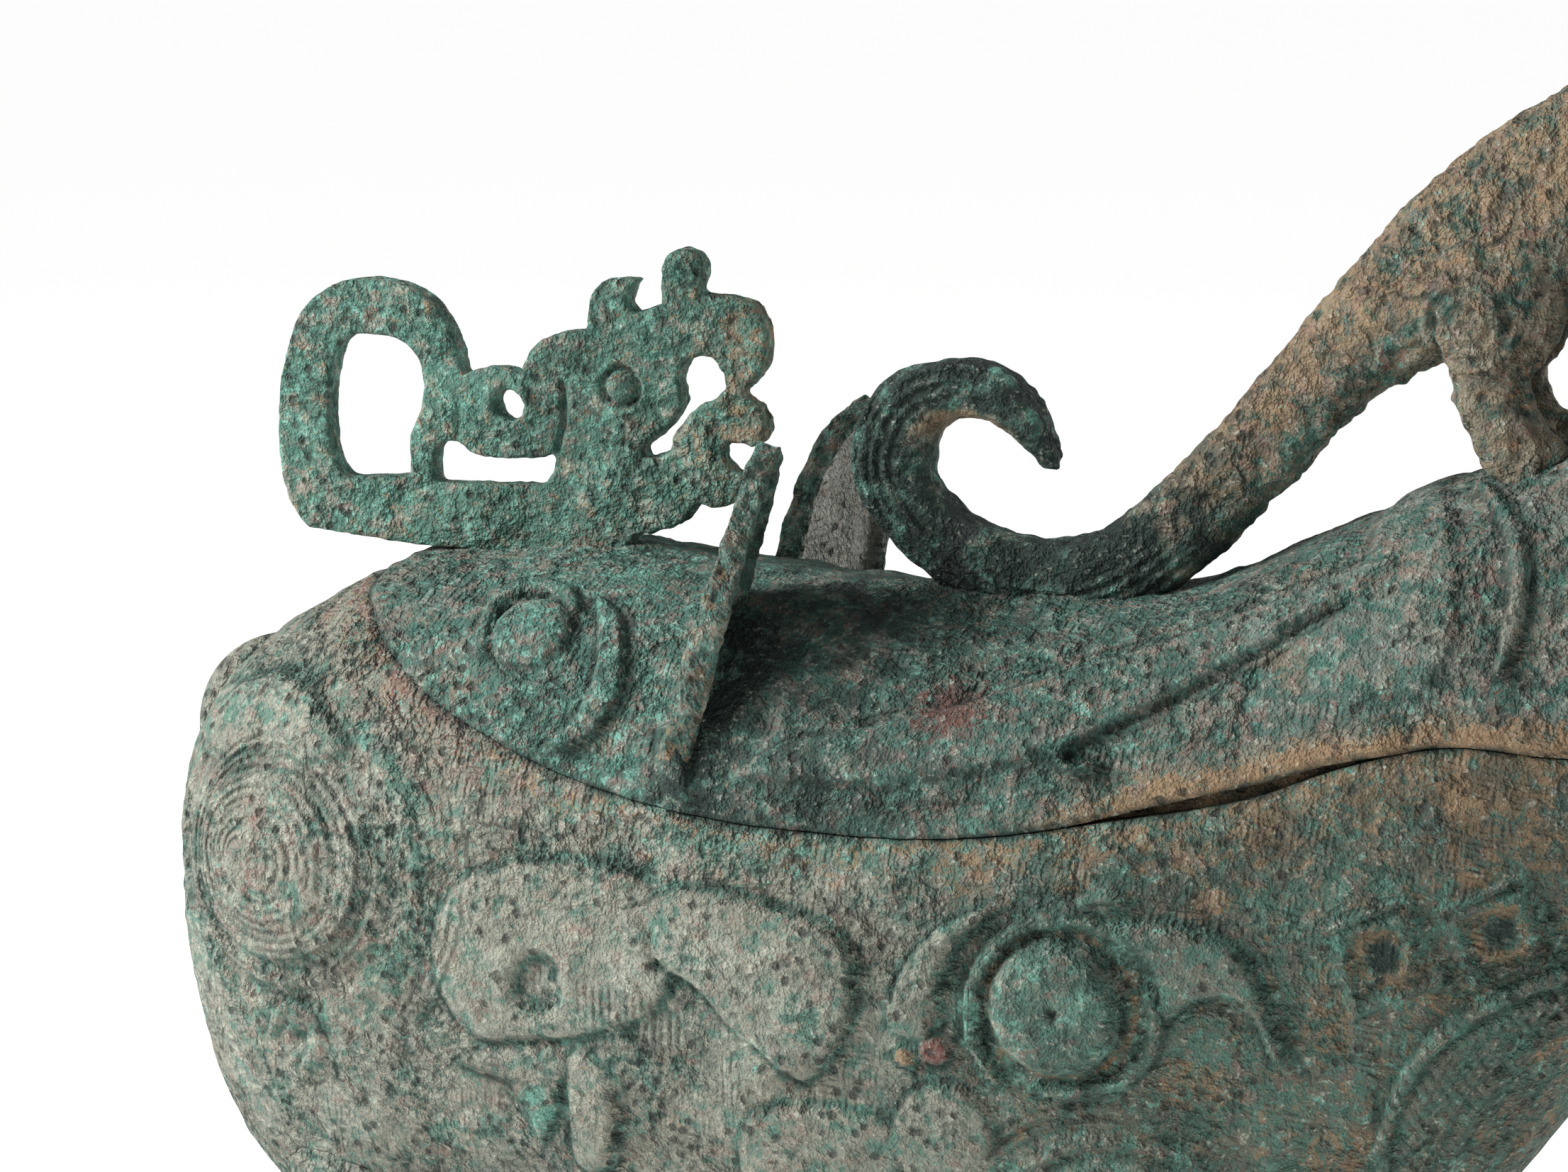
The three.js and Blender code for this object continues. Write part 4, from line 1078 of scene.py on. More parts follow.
def head_relief(points):
    """The great head's eye, brow, lip and nostril, and the curls on its cheek."""
    x, z = points[:, 0], points[:, 2]
    near = x > 118
    p, q = head_seen(points[near])
    r = np.hypot(p, q)
    form = 4.6 * np.sqrt(np.clip(1 - (r / 10.8) ** 2, 0, 1)) + pit(p, q, (0, 0), 2.2, 1.6)
    rim_r = np.hypot(p, q * 1.12)
    form = np.maximum(form, 1.8 * bell(rim_r - 13.2, 1.6))
    brow = curve_through(head_put([(156, 264), (160, 274), (168, 281.5), (182, 284), (196, 276),
                                   (194, 271), (182, 278), (170, 275.5), (163, 268)]), 4, True)
    form = np.maximum(form, plate(p, q, brow, 2.8, 1.8))
    lip = curve_through(head_put([(156, 231), (174, 238), (192, 244), (209, 252)]), 6)
    form = np.maximum(form, rib(p, q, lip, 2.6, 2.4, 0.6))
    nostril = head_put([(210, 262)])[0]
    away = np.hypot(p - nostril[0], q - nostril[1])
    form = np.maximum(form, 3.0 * bell(away - 3.4, 1.7))
    form = form + pit(p, q, nostril, 2.2, 1.4)
    cheek = head_put([(148, 236)])[0]
    fine, share = coils(p, q, cheek, cheek, 13.0, 4.6, 1.1)
    form = np.maximum(form, (1.5 + fine) * (1 - smooth(0.9, 1.05, share)))
    return spread(near, form)


mask_seen, mask_put = board(-118, 205)
band_seen, band_put = board(0, 203)
head_seen, head_put = board(180, 266)


def mound(points, centre, reach, height):
    """Metal and corrosion heaped up where a part is cast on."""
    away = (points - centre) / reach
    return height * np.exp(-np.sum(away ** 2, axis=1))


def lid_relief(points):
    lift = mask_relief(points)
    for part in (lid_flank_relief, head_relief):
        other = part(points) * 1.25
        lift = np.where(np.abs(other) > np.abs(lift), other, lift)
    edge = points[:, 2] - seam(points[:, 0]) - gape(points[:, 0])
    lift = lift * smooth(1.0, 4.0, edge)
    lip = 0.7 * smooth(0.2, 1.2, edge) * (1 - smooth(5.0, 6.2, edge))
    return lift + lip * smooth(-90, -60, points[:, 0]) * (1 - smooth(96, 120, points[:, 0]))


def lid_fineness(x, y, z):
    on_top = z > widest_height(x) + 0.93 * (back(x) - widest_height(x))
    weight = np.where(on_top, 0.75, np.where(y < 0, 1.0, 0.42))
    return np.where(z < seam(x) - 3, 0.08, weight)


def lid_spacing(x):
    return np.interp(x, [-180, -170, 110, 140, 220], [3.0, 0.92, 1.02, 1.5, 1.5])


rings, poles = trunk_rings(0.0, lid_spacing, 180, lid_fineness)
flat_points = rings.reshape(-1, 3)
lift = lid_relief(flat_points)
lift = lift + crust(flat_points, lift, 11)
lift = lift + mound(flat_points, (-113, 0, 221), (30, 6, 6), 1.2)
lift = lift + mound(flat_points, (-16, 0, 219), (26, 13, 9), 3.0)
for ear_y in (-40, 40):
    lift = lift + mound(flat_points, (-84, ear_y, 184), (7, 14, 9), 1.5)
crumpled = mound(flat_points, (-45, 0, 216), (26, 34, 16), 1.0)
lift = lift + crumpled * (1.1 * lumps(flat_points * (1, 1, 1.4), 8, 15) + 0.5 * lumps(flat_points, 3.6, 16))
lift = lift + rim_wear(flat_points[:, 2] - seam(flat_points[:, 0]) - gape(flat_points[:, 0]), 0.5, 0.9)
shaped = flat_points + outwards(flat_points) * lift[:, None]
lid = joined("lid_shell", [(within_box(shaped).reshape(rings.shape), poles)])
carve(lid, beside_seam("above_seam", lambda x: seam(x) + gape(x), 520.0), "INTERSECT")
FLANGE_PLAY = 0.7
FLANGE_THICKNESS = 2.4
FLANGE_DEPTH = 6.0


def lid_height(extra):
    return lambda x: seam(x) + gape(x) + extra


flange = hollow_skin("flange", WALL + FLANGE_PLAY)
carve(flange, beside_seam("over_flange", lid_height(FLANGE_THICKNESS / 2), -20.0), "INTERSECT")
carve(flange, beside_seam("under_flange", lambda x: seam(x) - FLANGE_DEPTH, -20.0), "DIFFERENCE")
carve(lid, flange, "UNION")


def lid_hollow(name):
    inner = hollow_skin(name, WALL)
    carve(inner, beside_seam("over_shelf", lid_height(FLANGE_THICKNESS), 520.0), "INTERSECT")
    return inner


carve(lid, lid_hollow("lid_hollow"), "DIFFERENCE")
carve(lid, hollow_skin("inside_flange", WALL + FLANGE_PLAY + FLANGE_THICKNESS), "DIFFERENCE")


def both_sides(shells):
    return shells + [mirrored(shell) for shell in shells]


lid_bronze = patinated_bronze("buried_bronze_green", "#5a665f", "#7a857b", "#39685d", "#8d7a60", 0.6)


PLAIN = {"cuprite": 0, "deep": 0, "lined": 0, "incised": 3, "incised_reach": 0, "thunder": 0,
         "drawn": (1, 0, 0), "plan": (1, 0, 0)}


def cast_on_lid(piece, bronze, **shares):
    """Finishes a piece of the lid. Its patina reads these shares, and plain ones for the others."""
    paint(piece, **{**PLAIN, **shares})
    piece.data.materials.clear()
    piece.data.materials.append(bronze)
    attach(piece, "root")
    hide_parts("lid")


at = places_of(lid)
worked, ditch = beside_forms(lid_relief, at)
edge = at[:, 2] - seam(at[:, 0]) - gape(at[:, 0])
on_lip = bell(np.maximum(edge - 2, 0), 4.5) * smooth(-20, 30, at[:, 0])
green = 0.35 + 0.5 * bell(at[:, 0] + 105, 45) + 0.35 * bell(at[:, 0] + 10, 45)
MASK_CUTS = [
    [(-153.8, 203.6), (-151, 206.8), (-145.9, 209), (-141.5, 206.8), (-139, 201.5)],
    [(-142.6, 197.4), (-140.2, 201), (-136.4, 202.3), (-132.4, 201.6), (-129.5, 197), (-128.6, 191.6)],
    [(-157, 213), (-154, 215.6), (-149.6, 216.8), (-146.4, 214), (-145.9, 209.4)],
    [(-119, 187.6), (-116.4, 190.8), (-112, 192.4)],
    [(-104, 187.6), (-98, 187.4), (-92.6, 186)],
    [(-127.6, 204), (-130.8, 209.6), (-129.8, 215.4), (-124, 218.4), (-114.6, 218.4), (-107.8, 215.4)],
    [(-126, 205.4), (-121, 201.6), (-114, 201), (-108, 203.4), (-106, 208)],
    [(-104.6, 217), (-97.6, 214.6), (-92.8, 208.4), (-91.4, 200.7), (-93.8, 193.4), (-100.6, 187.8),
     (-108, 187.4)],
    [(-103.4, 212), (-101.8, 205.4), (-102.4, 198.8), (-105, 193.6), (-108.6, 190.6)],
]
FLANK_CUTS = [
    [(-62, 189), (-48, 197.4), (-25.4, 203), (-1.0, 210.8), (23.5, 219.2), (45, 228.6), (68, 239)],
    [(57, 224.4), (46, 217), (34, 209.4), (22, 202.4), (13.4, 198)],
    [(8, 190.6), (14, 191.4), (16.8, 195.4), (14, 198)],
    [(-60, 186), (-40, 183.6), (-10, 186.4), (10, 191)],
    [(85, 253), (92.5, 250), (98, 242), (99.4, 231), (97, 218)],
]
across, reach = incise(at, mask_seen, mask_put, MASK_CUTS)
flank_across, flank_reach = incise(at, band_seen, band_put, FLANK_CUTS)
on_flank = at[:, 0] > -80
across, reach = np.where(on_flank, flank_across, across), np.where(on_flank, flank_reach, reach)
reach = reach * smooth(8, 14, np.abs(at[:, 1]))
outer = smooth(0.9, 0.96, outness(at))
ground = (1 - smooth(0.2, 0.9, worked)) * smooth(5, 8, edge) * (1 - on_lip)
# Painted shadow: the near ear's shadow darkens the lid along its foot, over the middle of the back and on
# towards the tail's root.
deep = 1.5 * np.exp(-((at[:, 0] + 74 - 0.2 * (at[:, 2] - 190)) / 7) ** 2)
deep = deep * smooth(22, 30, np.abs(at[:, 1]))
deep = deep + 0.75 * bell(at[:, 0] + 50, 26) + 0.35 * bell(at[:, 0] + 5, 40)
# Darker beside raised forms and along the lid's lower edge: dark patina and dirt there, with painted shade
# round the forms and in the seam.
deep = np.maximum(np.maximum(deep, 0.9 * ditch), bell(np.maximum(edge, 0), 0.9))
red = 1.6 * np.exp(-((at[:, 0] + 19) / 8) ** 2 - ((at[:, 2] - 202.5) / 4) ** 2) + 0.3 * (1 - on_lip)
cast_on_lid(lid, lid_bronze, cuprite=red, deep=deep, raised=0.5 + 0.4 * smooth(0.5, 1.6, worked),
            teal=green * (1 - 0.7 * on_lip), soil=1.3 * on_lip + 0.3 * smooth(60, 130, at[:, 0]),
            tan=0.8 * on_lip, incised=across, incised_reach=reach * outer, plan=plan_of(at),
            thunder=0.7 * ground * outer)

# The knob: an openwork dragon cast flat in a two-piece mould, with its edges rounded by wear and
# crusted over. Its base is cast into the lid.
KNOB_STAND = -110.0
KNOB_THICKNESS = 6.5


def bezier(start, bends, steps=9):
    """Points along a curve from a start through the bends to its end, without the start."""
    t = np.linspace(0, 1, steps + 1)[1:, None]
    nodes = [np.array(point, float) for point in (start, *bends)]
    while len(nodes) > 1:
        nodes = [a + (b - a) * t for a, b in zip(nodes[:-1], nodes[1:])]
    return nodes[0]


def outline_of(start, *moves):
    """A closed outline. A move of one point is straight, and one of two or three is curved."""
    chain = [np.array([start], float)]
    for move in moves:
        last = chain[-1][-1]
        chain.append(np.array(move, float) if len(move) == 1 else bezier(last, move))
    return np.concatenate(chain)


def slab(name, outlines, low, high, place):
    """A flat plate between two levels, with holes. place(points) puts it in the scene."""
    from_2d = [[Vector((a, b, 0)) for a, b in outline] for outline in outlines]
    triangles = tessellate_polygon(from_2d)
    flat = np.concatenate(outlines)
    count = len(flat)
    points = np.concatenate([np.column_stack([flat, np.full(count, low)]),
                             np.column_stack([flat, np.full(count, high)])])
    faces = [[a, b, c] for a, b, c in triangles]
    faces += [[c + count, b + count, a + count] for a, b, c in triangles]
    first = 0
    for outline in outlines:
        ring = np.arange(first, first + len(outline))
        first += len(outline)
        for a, b in zip(ring, np.roll(ring, -1)):
            faces.append([int(a), int(b), int(b + count), int(a + count)])
    return new_piece(name, place(points), faces)


def remelt(piece, grain, rounds):
    """Makes one skin of even grain out of a piece's shells, with its edges rounded."""
    melt = piece.modifiers.new("melt", "REMESH")
    melt.mode = "VOXEL"
    melt.voxel_size = grain * MM
    soften = piece.modifiers.new("soften", "SMOOTH")
    soften.factor = 0.5
    soften.iterations = rounds
    bpy.context.view_layer.update()
    whole = bpy.data.meshes.new_from_object(piece.evaluated_get(bpy.context.evaluated_depsgraph_get()))
    piece.modifiers.clear()
    piece.data = whole
    whole.shade_smooth()


def raise_skin(piece, lift):
    """Moves a piece's skin outwards by a lift for each point, in millimetres."""
    normals = np.empty(len(piece.data.vertices) * 3)
    piece.data.vertices.foreach_get("normal", normals)
    co = (places_of(piece) + normals.reshape(-1, 3) * lift[:, None]) * MM
    piece.data.vertices.foreach_set("co", co.ravel())
    piece.data.update()


knob_edge = outline_of(
    (-53, -2.8), [(-53, -2.5)], [(-79, -0.5)], [(-84, 3), (-85.6, 10.3)],
    [(-87.4, 20), (-87.4, 34), (-81.5, 47.5)],
    [(-77, 55.5), (-70, 58.4), (-62, 58.4)], [(-50, 58.4), (-42, 53), (-39.4, 37.5)],
    [(-32, 41.5), (-25.5, 38)], [(-24, 48), (-9, 49.3)], [(-8.4, 56)], [(-7, 62.5), (3.4, 61)],
    [(-1.6, 57), (2.4, 53.4)], [(8.9, 55.8)], [(9, 64)], [(10, 70.5), (19, 70), (19, 62.7)],
    [(17.4, 58.3)], [(28, 59), (31.4, 56)], [(36, 50), (34.5, 42), (27.6, 36.8)],
    [(35, 34), (36, 26.5), (30, 25)], [(26, 27), (23.9, 25)], [(22, 20.5), (28.5, 18.3)],
    [(29, 11), (20.2, 10.6)], [(17, 11.9)], [(14, 4.4), (5, 4)], [(2, 3.4)], [(-0.5, -2.8)])
tail_loop = outline_of(
    (-73.2, 20), [(-73.8, 32), (-73, 45), (-66, 45.5)], [(-58, 45.5)], [(-50, 44), (-48.4, 38), (-50, 29.5)],
    [(-53, 23)], [(-53, 13.3)], [(-69, 12)], [(-72.6, 14), (-73.2, 20)])[:-1]
low_window = outline_of(
    (-46.8, 12.2), [(-47, 20)], [(-42, 24.5), (-38.2, 20)], [(-34, 17.6), (-16.8, 20.4)],
    [(-17.6, 13.4), (-22.4, 13)])
mouth = outline_of(
    (13, 39), [(12.8, 46.6), (24.6, 47.6), (24, 38.4)], [(22.6, 34.8), (19.3, 34)],
    [(12, 29.6), (10.6, 22.6)], [(4.6, 20.6)], [(4.2, 23.4)], [(12, 29), (14, 34.4)])
ring_hole = outline_of(
    (-24.7, 31.2), [(-24.7, 36), (-31.9, 36), (-31.9, 31.2)],
    [(-31.9, 26.4), (-24.7, 26.4), (-24.7, 31.2)])[:-1]
knob = slab("knob_dragon", [knob_edge, tail_loop, low_window, mouth, ring_hole], -KNOB_THICKNESS / 2,
            KNOB_THICKNESS / 2, lambda points: np.column_stack([
                points[:, 0] + KNOB_STAND, points[:, 2], points[:, 1] + back(KNOB_STAND)]))
remelt(knob, 0.55, 9)
at = places_of(knob)
p, q = at[:, 0] - KNOB_STAND, at[:, 2] - back(KNOB_STAND)
eye_r = np.hypot(p + 0.6, q - 37)
lift = 2.3 * np.sqrt(np.clip(1 - (eye_r / 3.6) ** 2, 0, 1)) + 0.6 * bell(eye_r - 5.8, 0.9)
lift = lift - 1.0 * bell(eye_r - 4.3, 0.7)
for chain, half, depth in (([(-15.1, 37), (-14.6, 29), (-16.4, 21.5)], 1.0, 1.5),
                           ([(-40.6, 30), (-40.9, 23.5)], 0.8, 0.6),
                           ([(-4, 56), (-3.4, 52)], 0.8, 0.6), ([(25, 52), (29, 47), (29.5, 42)], 0.9, 0.5)):
    lift = lift + cut(p, q, curve_through(chain, 6), half, depth)
ring_r = np.hypot(p + 28.3, q - 31.2)
lift = lift + 0.5 * bell(ring_r - 5.2, 1.2)
crest_r = np.hypot(p - 14.1, q - 63.4)
lift = lift + 0.4 * np.cos(crest_r / 2.6 * 2 * np.pi) * (1 - smooth(4.0, 5.0, crest_r))
grit = 0.34 * lumps(at, 2.6, 21) + 0.26 * lumps(at, 1.35, 22) + 0.3 * lumps(at, 7, 23)
crusted = smooth(-44, -18, p) * (1 - 0.5 * smooth(44, 52, q))
raise_skin(knob, lift + grit * (0.4 + 0.6 * crusted))
knob_bronze = patinated_bronze("buried_bronze_crusted", "#6d756b", "#8d9485", "#417466", "#84755f", 0.75)
cast_on_lid(knob, knob_bronze, raised=0.55, teal=0.85, soil=0.35 + 0.4 * smooth(10, 30, p),
            tan=0.5 * smooth(12, 30, p),
            deep=0.35 * smooth(-45, -20, p) + 0.8 * bell(eye_r - 4.3, 0.8))

# The two ears: leaf-shaped plates with a thick rolled rim, cast on across the flanks and leaning
# forward. Corrosion has eaten their edges.
EAR_LENGTH = 79.0
EAR_WIDTH = 34.0
EAR_THICKNESS = 6.0


def leaf(inset):
    half = EAR_WIDTH / 2 - inset
    return outline_of(
        (-half * 0.82, inset),
        [(-half * 1.25, EAR_LENGTH * 0.4), (-half * 1.3, EAR_LENGTH * 0.96),
         (-half * 0.4, EAR_LENGTH + 1.4 - inset)],
        [(half * 0.25, EAR_LENGTH + 1 - inset * 0.6), (half * 0.68, EAR_LENGTH * 0.87)],
        [(half * 1.22, EAR_LENGTH * 0.62), (half * 1.1, EAR_LENGTH * 0.28), (half * 0.5, inset)])


def ear_frame(side):
    foot = np.array([-86.5, -44.5, 178.5])
    rise = np.array([-68.5, -27.5, 254.5]) - foot
    rise /= np.linalg.norm(rise)
    face = np.array([0.953, 0.21, -0.2]) if side > 0 else np.array([0.93, 0.35, -0.2])
    face = face - rise * (face @ rise)
    face /= np.linalg.norm(face)
    across = np.cross(rise, face)
    turned = np.array([1, side, 1])

    def place(points):
        spread = points @ np.array([across, rise, face])
        return (foot + spread) * turned

    def seen(points):
        return (points * turned - foot) @ np.array([across, rise, face]).T
    return place, seen


# The ears' pale second colour, #c4c2ba, is painted light on the far ear's inner face.
ear_bronze = patinated_bronze("buried_bronze_tin_grey", "#767c72", "#949a8d", "#3f7064", "#c4c2ba")


def make_ear(name, side):
    place, seen = ear_frame(side)
    edge = leaf(0.35)
    ear = slab(name, [edge[::-1] if side > 0 else edge], 0.3, EAR_THICKNESS - 0.3, place)
    remelt(ear, 0.6, 8)
    at = places_of(ear)
    a, b, depth = seen(at).T
    deep = inside(a, b, leaf(0))
    dish = smooth(3.0, 5.4, deep) * smooth(EAR_THICKNESS * 0.5, EAR_THICKNESS * 0.8, depth)
    lift = -2.2 * dish - 0.9 * (1 - smooth(0.0, 1.6, deep)) * smooth(-0.3, 0.6, lumps(at, 5.5, 33))
    lift = lift - 0.5 * smooth(0.3, 0.8, lumps(at, 3.6, 34)) * (1 - dish)
    lift = lift + 0.9 * (1 - smooth(3.0, 5.0, deep)) * (1 - smooth(30, 66, b)) * smooth(0.4, 2.0, deep)
    ripple = 0.25 * np.cos(b / 2.4 * 2 * np.pi) * dish * smooth(26, 40, b)
    lift = lift + ripple + (1 - 0.6 * dish) * (0.42 * lumps(at, 2.9, 31) + 0.3 * lumps(at, 1.5, 32))
    raise_skin(ear, lift)
    carve(ear, lid_hollow("under_ear"), "DIFFERENCE")
    carve(ear, beside_seam("over_ear", lid_height(0.1), 520.0), "INTERSECT")
    at = places_of(ear)
    a, b, depth = seen(at).T
    face = smooth(2.4, 5.0, inside(a, b, leaf(0))) * smooth(EAR_THICKNESS * 0.2, EAR_THICKNESS * 0.5, depth)
    # Painted shade on the near ear's inner face through the deep share, and painted light on the far ear's:
    # its teal is taken off and the pale second colour laid on.
    cast_on_lid(ear, ear_bronze, cuprite=0.4 * (1 - face),
                deep=0.3 * (1 - face) + 0.7 * face * (side > 0), raised=0.2 + 0.8 * face,
                teal=0.8 - 1.6 * face * (side < 0), tan=2 * face * (side < 0),
                soil=(0.45 + 0.3 * (1 - smooth(15, 50, b))) * (1 - 0.6 * face))


make_ear("ear_near", 1)
make_ear("ear_far", -1)

# The beast that climbs the great head: a solid casting whose tail runs down the lid's ridge and
# curls up behind, with two hind feet and two forefeet on the head.
SPINE = [(-10, 246), (-15, 254.5), (-22.5, 261.5), (-33, 263), (-42.5, 258.5), (-47, 249), (-45, 239.5),
         (-34.5, 228.8), (-20, 222), (-3, 222), (13, 231), (33, 252), (50, 272), (68, 288), (88, 302),
         (110, 317), (134, 335), (158, 343), (176, 344)]
SPINE_DEPTH = [2.2, 3.9, 5.6, 6.4, 8, 9.4, 8.6, 8, 9.4, 10, 10, 10, 10.5, 15, 20, 20.5, 20, 19, 13]
SPINE_HALF = [3, 5.6, 7, 7, 7, 7, 7, 7, 7.7, 8.4, 8.4, 8.4, 9.1, 12, 15, 15, 15, 14.25, 12]
HIP = (80.3, 285)


def off_spine(points):
    """How far places are off the spine, towards the back, and how far along it."""
    away, side, share = from_chain(points[:, 0], points[:, 2], curve_through(SPINE, 10))
    return side * away, share


def round_hip(points):
    """Where places are from the middle of the coil on the hip, and how far from it."""
    hip_x, hip_z = points[:, 0] - HIP[0], points[:, 2] - HIP[1]
    return hip_x, hip_z, np.hypot(hip_x, hip_z)


trunk_shell = limb_skin(SPINE, swelling(SPINE_DEPTH), swelling(SPINE_HALF), 150, 44, square=2.8)
paw_depth = swelling([17, 14.5, 8.5, 7.5, 8.5])
paw_half = swelling([6, 6.5, 5.5, 5.5, 6])
hind = limb_skin([(80, 303), (86, 288), (85, 273), (89, 262), (97, 252)], paw_depth, paw_half, 40, 28, -11)
fore = limb_skin([(146, 338), (152, 322), (148, 306), (152, 296), (158, 288)], paw_depth, paw_half,
                 40, 28, -11)
skull = limb_skin([(160, 350), (176, 351), (190, 346), (203, 338), (207, 335)],
                  swelling([12, 17, 15, 11, 7]), swelling([11, 16, 14, 11, 8]), 40, 32)
ear_tip = limb_skin([(168, 358), (170, 365), (173, 371)], swelling([4.2, 4.2, 2.5]),
                    swelling([3, 3, 2]), 16, 16, -9)
eyeball = limb_skin([(184, 354), (188, 356), (192, 354)], swelling([2, 3.6, 2]),
                    swelling([2, 3.6, 2]), 12, 16, -9.5)
climber = joined("climbing_beast", [trunk_shell, skull] + both_sides([hind, fore, ear_tip, eyeball]))
remelt(climber, 0.75, 5)
at = places_of(climber)
offset, share = off_spine(at)
on_curl = (1 - smooth(0.34, 0.44, share)) * smooth(0.04, 0.1, share)
fluted = smooth(-1.0, 1.0, 2.0 - offset) * on_curl
lift = 0.42 * np.cos(offset / 2.7 * 2 * np.pi) * fluted
hip_x, hip_z, haunch_r = round_hip(at)
coil_angle = np.arctan2(hip_z, hip_x)
coiled = (1 - smooth(9.5, 12, haunch_r)) * smooth(7, 9, np.abs(at[:, 1]))
lift = lift + coiled * (1.6 - 0.1 * haunch_r + 0.4 * np.cos(haunch_r / 3.6 * 2 * np.pi - coil_angle))
jagged = smooth(3.5, 7.0, -offset) * smooth(0.42, 0.5, share) * (1 - smooth(0.64, 0.7, share))
lift = lift + jagged * (0.9 * lumps(at, 5.0, 44) + 0.8 * lumps(at, 2.8, 45))
lift = lift + (1 - 0.5 * fluted) * (0.4 * lumps(at, 2.8, 41) + 0.3 * lumps(at, 1.6, 42))
lift = lift + 0.5 * lumps(at, 9, 43)
raise_skin(climber, lift)
carve(climber, lid_hollow("under_climber"), "DIFFERENCE")
at = places_of(climber)
offset, share = off_spine(at)
up_tail = smooth(-10, 30, at[:, 0])
under = smooth(-1.0, 5.0, -offset)
flutes = 0.9 * smooth(-1.0, 1.0, 2.0 - offset) * (1 - smooth(0.36, 0.46, share)) * smooth(0.03, 0.08, share)
SCALES = [(28.1, 247.1, 5.6), (40.8, 260.9, 5.9), (54, 277.3, 6.4), (68.9, 295.6, 6.6), (83.1, 307.3, 6.4),
          (96.3, 319.4, 6.4), (112, 328, 6.8), (16, 236.5, 5.2)]
across = np.full(len(at), 3.0)
reach = np.zeros(len(at))
for x, z, radius in SCALES:
    ring = np.hypot(at[:, 0] - x, at[:, 2] - z) - radius
    lower = smooth(-0.5, 0.2, ((at[:, 0] - x) * 0.75 - (at[:, 2] - z) * 0.3) / radius)
    held = (np.abs(ring) < np.abs(across)) & (np.abs(ring) < 2.4)
    across = np.where(held, ring, across)
    reach = np.where(held, lower * (1 - smooth(1.2, 2.2, np.abs(ring))), reach)
hip_x, hip_z, haunch_r = round_hip(at)
coiled = (haunch_r < 12) & (np.abs(at[:, 1]) > 6)
drawn = np.column_stack([np.ones(len(at)), np.zeros(len(at)), offset / 2.7])
drawn[coiled] = np.column_stack([hip_x, hip_z, haunch_r / 3.6])[coiled]
flutes = np.where(coiled, 0.8 * (1 - smooth(9.5, 12, haunch_r)), flutes)
crown = smooth(1.5, 4.5, offset) * smooth(248, 256, at[:, 2]) * (1 - up_tail)
cast_on_lid(climber, lid_bronze, cuprite=0.3 * up_tail,
            deep=1.5 * (1 - smooth(0.36, 0.52, share)) * (1 - crown), raised=0.5,
            teal=0.75 * (1 - up_tail) * (1 - crown) + 0.1 + 0.5 * under * (
                1 - smooth(50, 90, at[:, 0])),
            soil=0.2 + 0.25 * up_tail, tan=np.maximum(up_tail * (1 - 0.5 * under), 0.8 * crown),
            drawn=drawn, lined=flutes, incised=across, incised_reach=reach, plan=plan_of(at))

# The great head's bottle-shaped horns and its leaf ears, one of each on either side. They are cast
# solid in the lid's bronze, with rings round the horns, and crusted over like the rest of the lid.
horn = limb_skin([(152, 256), (147, 272), (141, 288), (137, 302), (136, 312), (136, 318)],
                 swelling([9, 7.5, 6, 7.6, 8.6, 5]), swelling([9, 7.5, 6, 7.6, 8.6, 5]), 48, 36, -29)
head_ear = limb_skin([(144, 234), (132, 246), (120, 254), (110, 258)], swelling([7, 10, 8, 3]),
                     swelling([7, 5, 4, 2]), 40, 28, -41)
horns = joined("horns_and_head_ears", both_sides([horn, head_ear]))
remelt(horns, 0.8, 3)
at = places_of(horns)
around_horn = np.cos((at[:, 2] - 0.2 * at[:, 0]) / 4.6 * 2 * np.pi) * smooth(268, 274, at[:, 2])
raise_skin(horns, 0.4 * around_horn + 0.4 * lumps(at, 2.9, 51) + 0.3 * lumps(at, 1.6, 52))
carve(horns, lid_hollow("under_horns"), "DIFFERENCE")
cast_on_lid(horns, lid_bronze, raised=0.2, teal=0.4, soil=0.4, tan=0.2)

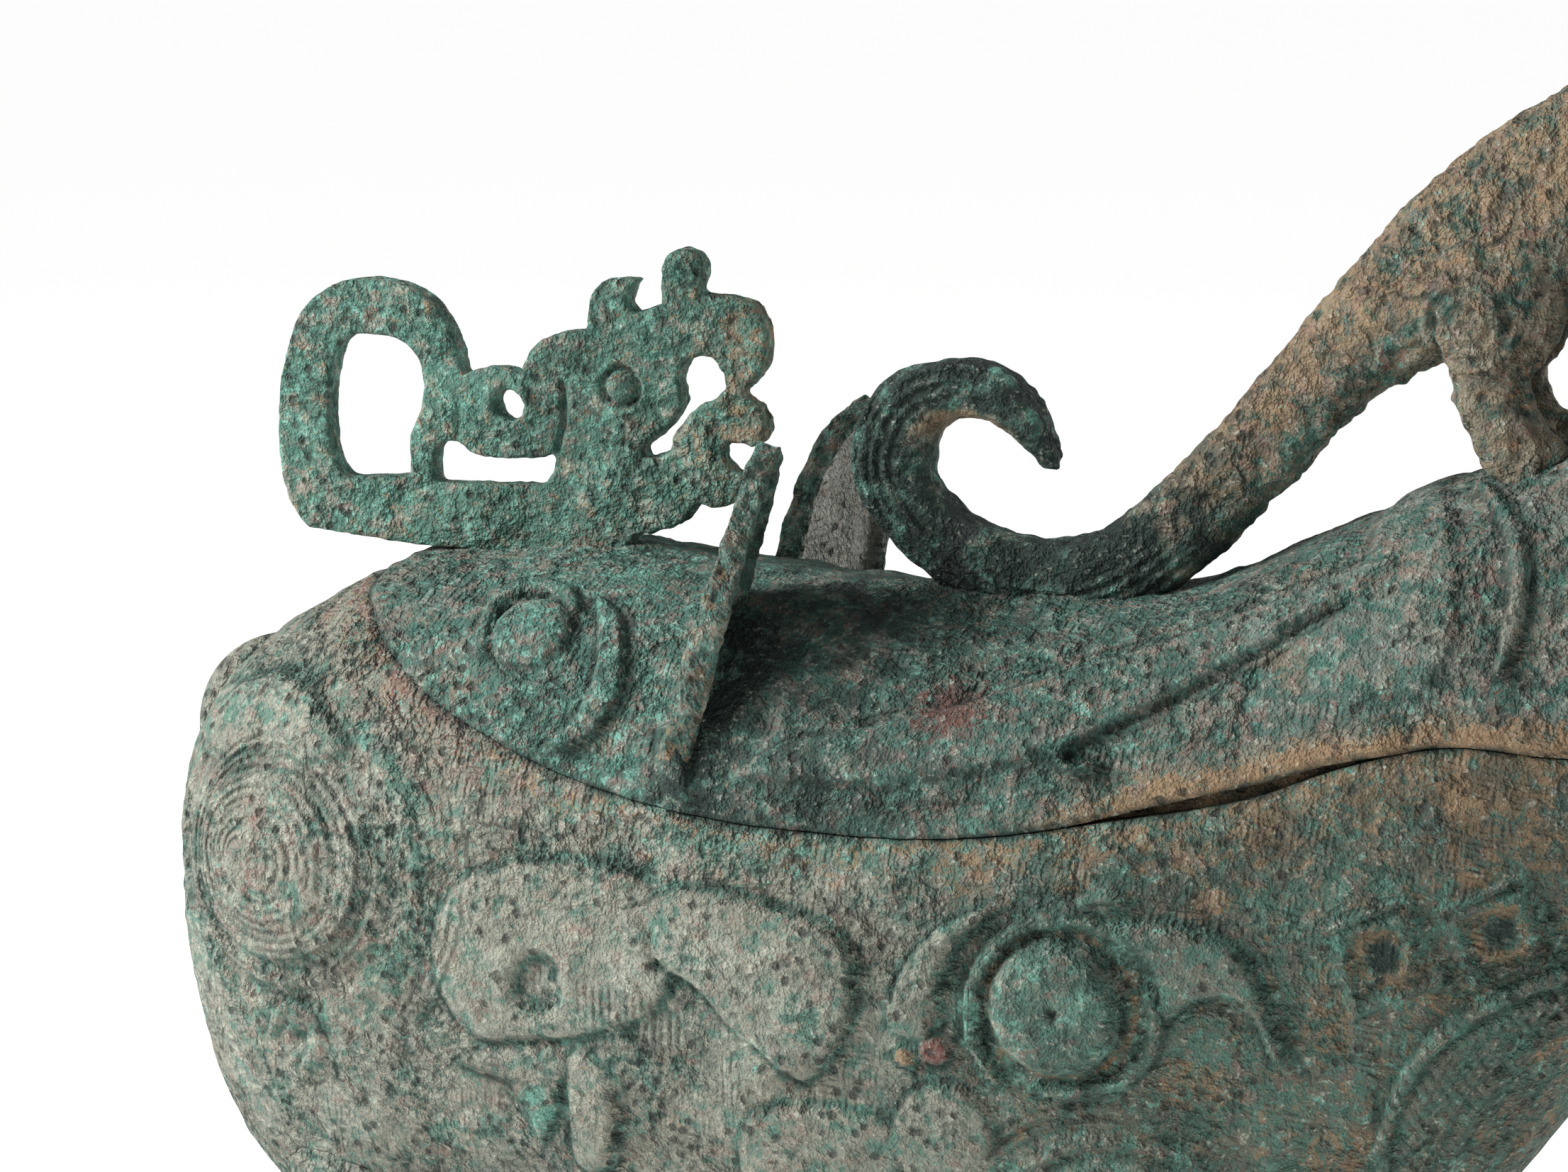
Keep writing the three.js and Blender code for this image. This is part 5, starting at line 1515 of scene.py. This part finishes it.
# The camera stands where the photograph was taken from, a little above the rim and turned
# towards the rump. The floor is pale paper. The light is that of one large soft box overhead on
# the left, a smaller one beside the vessel and a weak one behind it.
TARGET = Vector((-73, 0, 216)) * MM
AZIMUTH = math.radians(20)
ELEVATION = math.radians(12)
DISTANCE = 0.9
camera_data = bpy.data.cameras.new("camera")
camera_data.lens = 92.57
camera_data.sensor_width = 36
camera = bpy.data.objects.new("camera", camera_data)
towards_camera = Vector((math.sin(AZIMUTH) * math.cos(ELEVATION),
                         -math.cos(AZIMUTH) * math.cos(ELEVATION), math.sin(ELEVATION)))
camera.location = TARGET + towards_camera * DISTANCE
camera.rotation_euler = towards_camera.to_track_quat("Z", "Y").to_euler()
bpy.context.scene.collection.objects.link(camera)
bpy.context.scene.camera = camera

floor_mesh = bpy.data.meshes.new("paper_floor")
reach = 40.0
floor_mesh.from_pydata([(-reach, -reach, 0), (reach, -reach, 0), (reach, reach, 0), (-reach, reach, 0)], [],
                       [(0, 1, 2, 3)])
floor = bpy.data.objects.new("paper_floor", floor_mesh)
bpy.context.scene.collection.objects.link(floor)
paper = bpy.data.materials.new("white_paper")
paper.use_nodes = True
for key, value in (("Base Color", linear("#f6f6f4")), ("Emission Color", (1, 1, 1, 1)),
                   ("Emission Strength", 0.5), ("Roughness", 0.9)):
    paper.node_tree.nodes["Principled BSDF"].inputs[key].default_value = value
floor_mesh.materials.append(paper)

world = bpy.data.worlds.new("studio")
world.use_nodes = True
world.node_tree.nodes["Background"].inputs["Color"].default_value = (0.97, 0.985, 1, 1)
world.node_tree.nodes["Background"].inputs["Strength"].default_value = 0.22
bpy.context.scene.world = world
bpy.context.scene.view_settings.view_transform = "Standard"
softbox = bpy.data.lights.new("softbox", "SUN")
softbox.angle = math.radians(24)
softbox.energy = 1.75


def area_box(name, size, energy, location):
    """A square soft box that faces the vessel."""
    box = bpy.data.lights.new(name, "AREA")
    box.size = size
    box.energy = energy
    made = bpy.data.objects.new(name, box)
    made.location = location
    made.rotation_euler = (made.location - TARGET).to_track_quat("Z", "Y").to_euler()
    bpy.context.scene.collection.objects.link(made)


area_box("side_softbox", 0.45, 7.4, (-0.64, -0.4, 0.6))
light = bpy.data.objects.new("softbox", softbox)
light.rotation_euler = Vector((-0.8, -0.24, 0.56)).to_track_quat("Z", "Y").to_euler()
bpy.context.scene.collection.objects.link(light)
area_box("back_softbox", 0.4, 1.9, (0.42, 0.34, 0.46))
